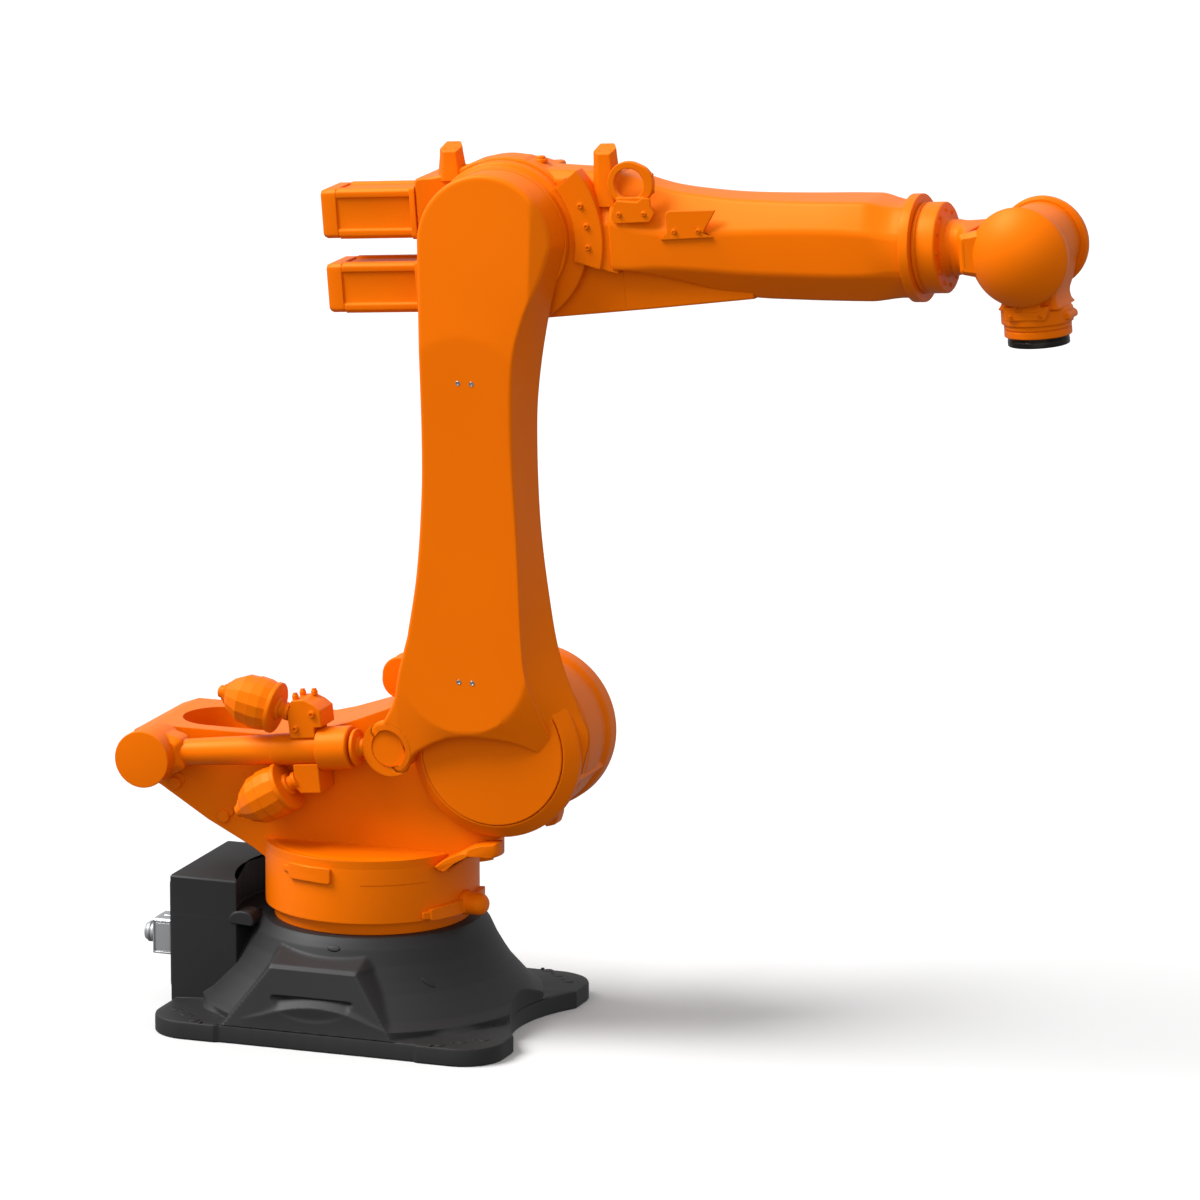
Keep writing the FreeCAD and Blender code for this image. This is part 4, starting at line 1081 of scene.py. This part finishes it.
def lifting(at, low, top):
    """Tapered block with a six-sided top that has three small threaded holes."""
    body = risen(block_plan, [(low, 1.32), (low + 0.4 * (top - low), 1.16), (top - 0.012, 1.0),
                              (top - 0.0012, 0.985), (top, 0.95)], at)
    pits = [spin([(0, 0), (0, 0.0035), (0.0006, 0.0032), (0.0006, 0.0022), (0.0001, 0.002), (0.0001, 0)],
                 (at[0] + dx, at[1] + dy, top + TOP_LEAN * dy), (0, -TOP_LEAN, 1), in_arm, 14, 0) for dx,
                 dy in ((-0.012, -0.008), (0.012, -0.006), (0.0, 0.014))]
    return [body] + pits


piece("lift_rear", lifting((-0.123, -0.034), 0.126, 0.199), "forearm", ORANGE, ("lifting_block_rear",),
      sharp=20)
piece("lift_front", lifting((0.246, -0.05), 0.065, 0.19), "forearm", ORANGE, ("lifting_block_front",),
      sharp=20)
vent = [(0.0, 0.0), (0.0, 0.016), (0.007, 0.015), (0.0075, 0.0105), (0.012, 0.0105), (0.014, 0.008),
        (0.014, 0.0)]
piece("vent_plug", [spin(vent, (0.075, -0.005, 0.156), (0, 0, 1), in_arm, 32, 0.001)], "forearm", ORANGE)

# %% Elbow: curved plate
def arc_plate(y0, y1, start, end, r0, r1):
    """Plate between two circles about the elbow, drawn as rows across its width, with eased edges."""
    a = np.radians(np.linspace(start, end, 40))
    rows = []
    for r, y in [(r0, y1), (r0, y0 + 0.002), (r0 + 0.002, y0), (r1 - 0.002, y0), (r1, y0 + 0.002),
                 (r1, y1)]:
        rows.append(np.column_stack([r * np.cos(a), np.full(len(a), y), r * np.sin(a)]))
    return grid_mesh(in_arm(np.stack(rows, axis=1)))


curved = arc_plate(-0.0975, -0.0575, -17, 38, 0.176, 0.242)
fill = arc_plate(-0.086, -0.0575, -70, 40, 0.16, 0.2)
angles = np.radians([-6, 7, 20])
washers = [screw((0.208 * math.cos(a), -0.0975, 0.208 * math.sin(a)), (0, -1, 0), 0.0056,
                 in_arm) for a in angles]
piece("curved_plate", [curved, fill] + washers, "forearm", ORANGE, ("side_plate",))

# %% Hose ring and bent plate
RING_AT = (0.312, -0.09, 0.118)


def split_ring():
    """Guide ring: round on the left, squared on the right, as rows from its inner to its outer edge."""
    a = np.linspace(0, 2 * math.pi, 120, endpoint=False)
    inner = np.column_stack([0.034 * np.cos(a), 0.034 * np.sin(a)])
    stretch = 1 + 0.16 * soft_step(np.cos(a), 0.2, 0.75) * (1 - soft_step(np.abs(np.sin(a)), 0.75, 0.95))
    outer = np.column_stack([0.0495 * np.cos(a) * stretch, 0.0495 * np.sin(a)])
    rows = []
    for share, y in [(0, 0.0055), (0, -0.0055), (0.1, -0.007), (0.9, -0.007), (1, -0.0055), (1, 0.0055),
                     (0.9, 0.007), (0.1, 0.007)]:
        flat = inner + (outer - inner) * share
        rows.append(np.column_stack([flat[:, 0], np.full(len(a), y), flat[:, 1]]))
    grid = np.stack(rows + rows[:1]) + np.array(RING_AT)
    return grid_mesh(in_arm(grid), closed=False)


ring_foot = [(-0.036, -0.046), (-0.03, -0.036), (0.02, -0.04), (0.034, -0.03), (0.05, -0.032),
             (0.05, -0.05), (0.058, -0.066), (0.046, -0.084), (-0.038, -0.086), (-0.044, -0.07)]
foot_plate = slab([(RING_AT[0] + x, RING_AT[2] + z) for x, z in ring_foot], -0.1055, -0.0995, in_arm,
                  0.003, 0.001)
stem = slab([(RING_AT[0] + x, RING_AT[2] + z) for x, z in ((-0.03, -0.06), (-0.03, -0.03),
                                                           (0.034, -0.03), (0.034, -0.06))],
            -0.1015, -0.085, in_arm, 0.002, 0.001)
ring_screws = [screw((RING_AT[0] + x, -0.1055, RING_AT[2] - 0.066), (0, -1, 0), 0.0048,
                     in_arm) for x in (-0.024, 0.034)]
clamp = [screw((RING_AT[0] + 0.052, RING_AT[1], RING_AT[2] + z), (1, 0, 0), 0.0045,
               in_arm) for z in (-0.018, 0.018)]
piece("hose_guide", [split_ring(), foot_plate, stem] + ring_screws + clamp, "forearm", ORANGE,
      ("hose_ring",))
face = [(0.378, -0.006), (0.396, 0.01), (0.396, 0.052), (0.404, 0.058), (0.512, 0.058), (0.506, 0.048),
        (0.482, 0.012), (0.484, 0.006), (0.502, -0.002)]
clip_screws = [screw((x, -0.1055, 0.012), (0, -1, 0), 0.0048, in_arm) for x in (0.414, 0.47)]
piece("clip_plate", [slab(face, -0.1055, -0.0985, in_arm, 0.003, 0.001)] + clip_screws, "forearm",
      ORANGE, ("cable_bracket",))

# %% [markdown]
# The wrist rolls behind the collar, bends in its fork and turns the tool flange. The near cheek wears a
# domed cover, the far one a wide drum; between them hangs the swivel, whose neck carries a triangular
# plate. All round parts are turned; the neck is drawn level by level.

# %% Wrist: collar, tube and fork
HEAD = (REACH, 0.0, WRIST_Z)
collar_line = [(0.9533, 0.0), (0.9533, 0.0985), (0.956, 0.0998), (0.962, 0.0998), (0.9625, 0.0965),
               (0.966, 0.0965), (0.9665, 0.0998),
               (1.004, 0.0998), (1.007, 0.0965), (1.007, 0.066), (1.012, 0.0625), (1.032, 0.06),
               (1.032, 0.0)]


def yoke():
    """Yoke of the fork: the round end of the tube widens sideways into a flat bar. Every ring is a rounded
    rectangle; half-widths and corner size run smoothly along the way."""
    table = run([(1.03, 0.0605, 0.0605, 0.058), (1.048, 0.063, 0.0565, 0.05),
                 (1.062, 0.082, 0.053, 0.044), (1.073, 0.105, 0.049, 0.034),
                 (1.0795, 0.1115, 0.046, 0.022)], 24)
    return along_x([(x, rounded([(-a, -b), (-a, b), (a, b), (a, -b)], c, 8, True) + [0, WRIST_Z]) for x,
                    a, b, c in table])


face_screws = [screw((1.0062, 0.083 * math.cos(a), WRIST_Z + 0.083 * math.sin(a)), (1, 0, 0), 0.0042,
                     in_arm)
               for a in np.linspace(0, 2 * math.pi, 12, endpoint=False)]
piece("wrist_collar", [spin(collar_line, (0, 0, WRIST_Z), (1, 0, 0), in_arm, 120, 0.001),
                       yoke()] + face_screws, "wrist", ORANGE, ("wrist_tube",))


def cheek_part(y0, y1, radius):
    """Cheek of the fork: a disc about the bend axis with an arm back to the web, edges eased."""
    line = [(y0, 0.0), (y0, radius), (y1, radius), (y1, 0.0)]
    disc = spin(line, HEAD, (0, 1, 0), in_arm, 120, 0.004)
    reach = [(1.064, WRIST_Z - 0.043), (1.064, WRIST_Z + 0.043), (1.0798, WRIST_Z + 0.046),
             (1.15, WRIST_Z + 0.06), (1.2, WRIST_Z + 0.06),
             (1.2, WRIST_Z - 0.06), (1.15, WRIST_Z - 0.06), (1.0798, WRIST_Z - 0.046)]
    return [disc, slab(reach, y0 + 0.001, y1 - 0.001, in_arm, 0.01, 0.012)]


piece("near_cheek", cheek_part(-0.112, -0.066, 0.0915), "wrist", ORANGE, ("wrist_near_cheek",))
piece("far_cheek", cheek_part(0.066, 0.086, 0.094), "wrist", ORANGE, ("wrist_far_cheek",))
dome_angles = np.radians(np.linspace(0, 53.1, 26))
ball = [(0.1375 * math.cos(a) - 0.0945, 0.1375 * math.sin(a)) for a in dome_angles]
dome_line = [(-0.045, 0.0), (-0.045, 0.104), (-0.02, 0.109)] + ball[::-1]
piece("dome", [spin(dome_line, (REACH, -0.112, WRIST_Z - 0.008), (0, -1, 0), in_arm, 120, 0)], "wrist",
      ORANGE, ("wrist_dome",), sharp=50)
far_line = [(-0.026, 0.0), (-0.026, 0.0985), (-0.022, 0.1015), (-0.01, 0.1015), (-0.005, 0.0985),
            (-0.001, 0.0905), (0.0015, 0.078), (-0.001, 0.072), (-0.001, 0.0)]
far_screws = [screw((REACH + 0.055 * math.cos(a), 0.0937, WRIST_Z + 0.055 * math.sin(a)), (0, 1, 0),
                    0.004, in_arm)
              for a in np.linspace(0, 2 * math.pi, 8, endpoint=False)]
piece("far_drum", [spin(far_line, (REACH, 0.095, WRIST_Z - 0.004), (0, 1, 0), in_arm, 120,
                        0.001)] + far_screws, "wrist", ORANGE, ("wrist_far_cover",))

# %% Wrist: swivel neck, ring and flange
barrel_line = [(-0.0655, 0.0), (-0.0655, 0.0872), (0.0655, 0.0872), (0.0655, 0.0)]
neck_levels = [(-0.01, 0.084, 0.06), (-0.045, 0.0795, 0.06), (-0.075, 0.0715, 0.06),
               (-0.1, 0.0625, 0.06), (-0.118, 0.064, 0.06),
               (-0.128, 0.07, 0.062), (-0.13, 0.07, 0.062)]


def neck_rows():
    """Neck of the swivel: rounded rectangles whose half-widths along and across come from the levels."""
    table = run(neck_levels, 40)
    rows = []
    for z, a, b in table:
        ring = rounded([(-a, -b), (a, -b), (a, b), (-a, b)], 0.014, closed=True)
        rows.append(flat_ring(ring + [REACH, 0], WRIST_Z + z))
    return grid_mesh(in_arm(np.stack(rows)))


low_line = [(-0.165, 0.0), (-0.165, 0.0785), (-0.16, 0.079), (-0.136, 0.079), (-0.129, 0.074),
            (-0.129, 0.0)]
oval_plan = [(-0.03, -0.012), (0.03, -0.012), (0.03, 0.012), (-0.03, 0.012)]
oval = slab([(REACH + 0.004 + x, WRIST_Z - 0.121 + z) for x, z in oval_plan], -0.0825, -0.062, in_arm,
            0.0118, 0.002)
oval_screws = [screw((REACH - 0.014, -0.0825, WRIST_Z - 0.121), (0, -1, 0), 0.007, in_arm)]
piece("swivel", [spin(barrel_line, HEAD, (0, 1, 0), in_arm, 96, 0.002), neck_rows(),
                 spin(low_line, HEAD, (0, 0, 1), in_arm, 96, 0.001), oval] + oval_screws, "swivel",
                 ORANGE, ("swivel_housing",), sharp=30)
triangle = [(REACH - 0.06, WRIST_Z - 0.091), (REACH - 0.05, WRIST_Z - 0.122),
            (REACH - 0.046, WRIST_Z - 0.15), (REACH + 0.044, WRIST_Z - 0.15),
            (REACH + 0.0635, WRIST_Z - 0.086),
            (REACH + 0.03, WRIST_Z - 0.0945), (REACH, WRIST_Z - 0.0985), (REACH - 0.03, WRIST_Z - 0.0945)]
tri_screws = [screw((REACH + x, -0.0815, WRIST_Z - 0.142), (0, -1, 0), 0.0036, in_arm) for x in (-0.034,
        0.034)]
side_boss = slab([(REACH + 0.01, WRIST_Z - 0.158), (REACH + 0.01, WRIST_Z - 0.13),
                  (REACH + 0.066, WRIST_Z - 0.133),
                  (REACH + 0.084, WRIST_Z - 0.146), (REACH + 0.084, WRIST_Z - 0.158)], -0.03, 0.03,
                  in_arm, 0.004, 0.004)
low_plate = [(REACH - 0.051, WRIST_Z - 0.12), (REACH - 0.046, WRIST_Z - 0.15),
             (REACH + 0.044, WRIST_Z - 0.15), (REACH + 0.054, WRIST_Z - 0.12)]
piece("neck_plate", [slab(triangle, -0.064, -0.056, in_arm, 0.004, 0.0012),
                     slab(low_plate, -0.0815, -0.056, in_arm, 0.004, 0.0012),
                     side_boss] + tri_screws, "swivel", ORANGE, ("swivel_plate",))
ring_line = [(-0.194, 0.0), (-0.194, 0.0725), (-0.1925, 0.074), (-0.179, 0.074), (-0.1785, 0.0715),
             (-0.176, 0.0715), (-0.1755, 0.074),
             (-0.1668, 0.074), (-0.1653, 0.0725), (-0.1653, 0.0)]
piece("swivel_collar", [spin(ring_line, HEAD, (0, 0, 1), in_arm, 96, 0.0004)], "swivel", ORANGE,
      ("swivel_ring",))
flange_line = [(-0.207, 0.0), (-0.207, 0.0312), (-0.215, 0.0315), (-0.215, 0.066), (-0.2135, 0.0678),
               (-0.202, 0.0678), (-0.2015, 0.0655),
               (-0.199, 0.0655), (-0.1985, 0.0678), (-0.1955, 0.0678), (-0.1945, 0.0665), (-0.1945, 0.0)]
tool_holes = [spin([(0.0, 0.0), (0.0, 0.0058), (0.0008, 0.0052), (0.0008, 0.0042), (0.0002, 0.004),
                    (0.0002, 0.0)],
                   (REACH + 0.05 * math.cos(a), 0.05 * math.sin(a), WRIST_Z - 0.215), (0, 0, -1), in_arm,
                   20, 0)
              for a in np.radians(30 + 60 * np.arange(6))]
piece("tool_face", [spin(flange_line, HEAD, (0, 0, 1), in_arm, 96, 0.0005)] + tool_holes, "tool_flange",
      BLACK, ("flange",))

# %% [markdown]
# The camera looks from the near side, a little from the front and above, through a long lens, so that
# parallel edges stay nearly parallel. A big soft light stands to the upper left, weaker ones fill in.

# %% Camera, lights and floor
AZIMUTH, HEIGHT = math.radians(20.5), math.radians(12.7)
DISTANCE, SCALE = 20.0, 0.449e3
right = Vector((math.cos(AZIMUTH), math.sin(AZIMUTH), 0))
up = Vector((-math.sin(AZIMUTH) * math.sin(HEIGHT), math.cos(AZIMUTH) * math.sin(HEIGHT),
             math.cos(HEIGHT)))
back = right.cross(up)
AIM = Vector((0.35, -0.06, 1.0))
camera = bpy.data.cameras.new("camera")
camera.sensor_width = 36.0
camera.lens = SCALE * 36.0 / 1200 * DISTANCE
camera.clip_end = 100.0
camera_object = bpy.data.objects.new("camera", camera)
camera_object.matrix_world = Matrix((
    (right.x, up.x, back.x, 0), (right.y, up.y, back.y, 0), (right.z, up.z, back.z, 0), (0, 0, 0, 1)))
camera_object.location = AIM + DISTANCE * back + 0.2076 * right + 0.0024 * up
bpy.context.scene.collection.objects.link(camera_object)
bpy.context.scene.camera = camera_object


def sun(name, direction, power, softness):
    """A far lamp that shines along a direction, with a soft edge."""
    lamp = bpy.data.lights.new(name, "SUN")
    lamp.energy = power
    lamp.angle = math.radians(softness)
    obj = bpy.data.objects.new(name, lamp)
    obj.rotation_euler = Vector(direction).to_track_quat("-Z", "Y").to_euler()
    bpy.context.scene.collection.objects.link(obj)


sun("key", (0.8, 0.4, -1.08), 4.3, 35)
sun("front", (-0.25, 0.92, -0.25), 0.55, 60)
world = bpy.data.worlds.new("studio")
world.use_nodes = True
sky = world.node_tree
direction = node(sky, "ShaderNodeTexCoord")
parts = node(sky, "ShaderNodeSeparateXYZ", {"Vector": direction.outputs["Generated"]})
light = node(sky, "ShaderNodeMapRange", {"Value": parts.outputs["Z"], "From Min": -1.0, "From Max": 1.0,
                                         "To Min": 0.1, "To Max": 0.85})
sky.links.new(light.outputs["Result"], sky.nodes["Background"].inputs["Strength"])
sky.nodes["Background"].inputs["Color"].default_value = (1, 1, 1, 1)
bpy.context.scene.world = world
bpy.context.scene.view_settings.view_transform = "Standard"

floor_mesh = bpy.data.meshes.new("floor")
half = 60.0
floor_mesh.from_pydata([(-half, -half, 0), (half, -half, 0), (half, half, 0), (-half, half, 0)], [],
                       [(0, 1, 2, 3)])
floor = bpy.data.objects.new("floor", floor_mesh)
pale = bpy.data.materials.new("pale_floor")
pale.use_nodes = True
pale.node_tree.nodes["Principled BSDF"].inputs["Base Color"].default_value = (0.62, 0.62, 0.62, 1)
pale.node_tree.nodes["Principled BSDF"].inputs["Roughness"].default_value = 0.9
floor_mesh.materials.append(pale)
bpy.context.scene.collection.objects.link(floor)
floor.visible_diffuse = False
floor.visible_glossy = False
print("lens in mm:", round(camera.lens, 1))
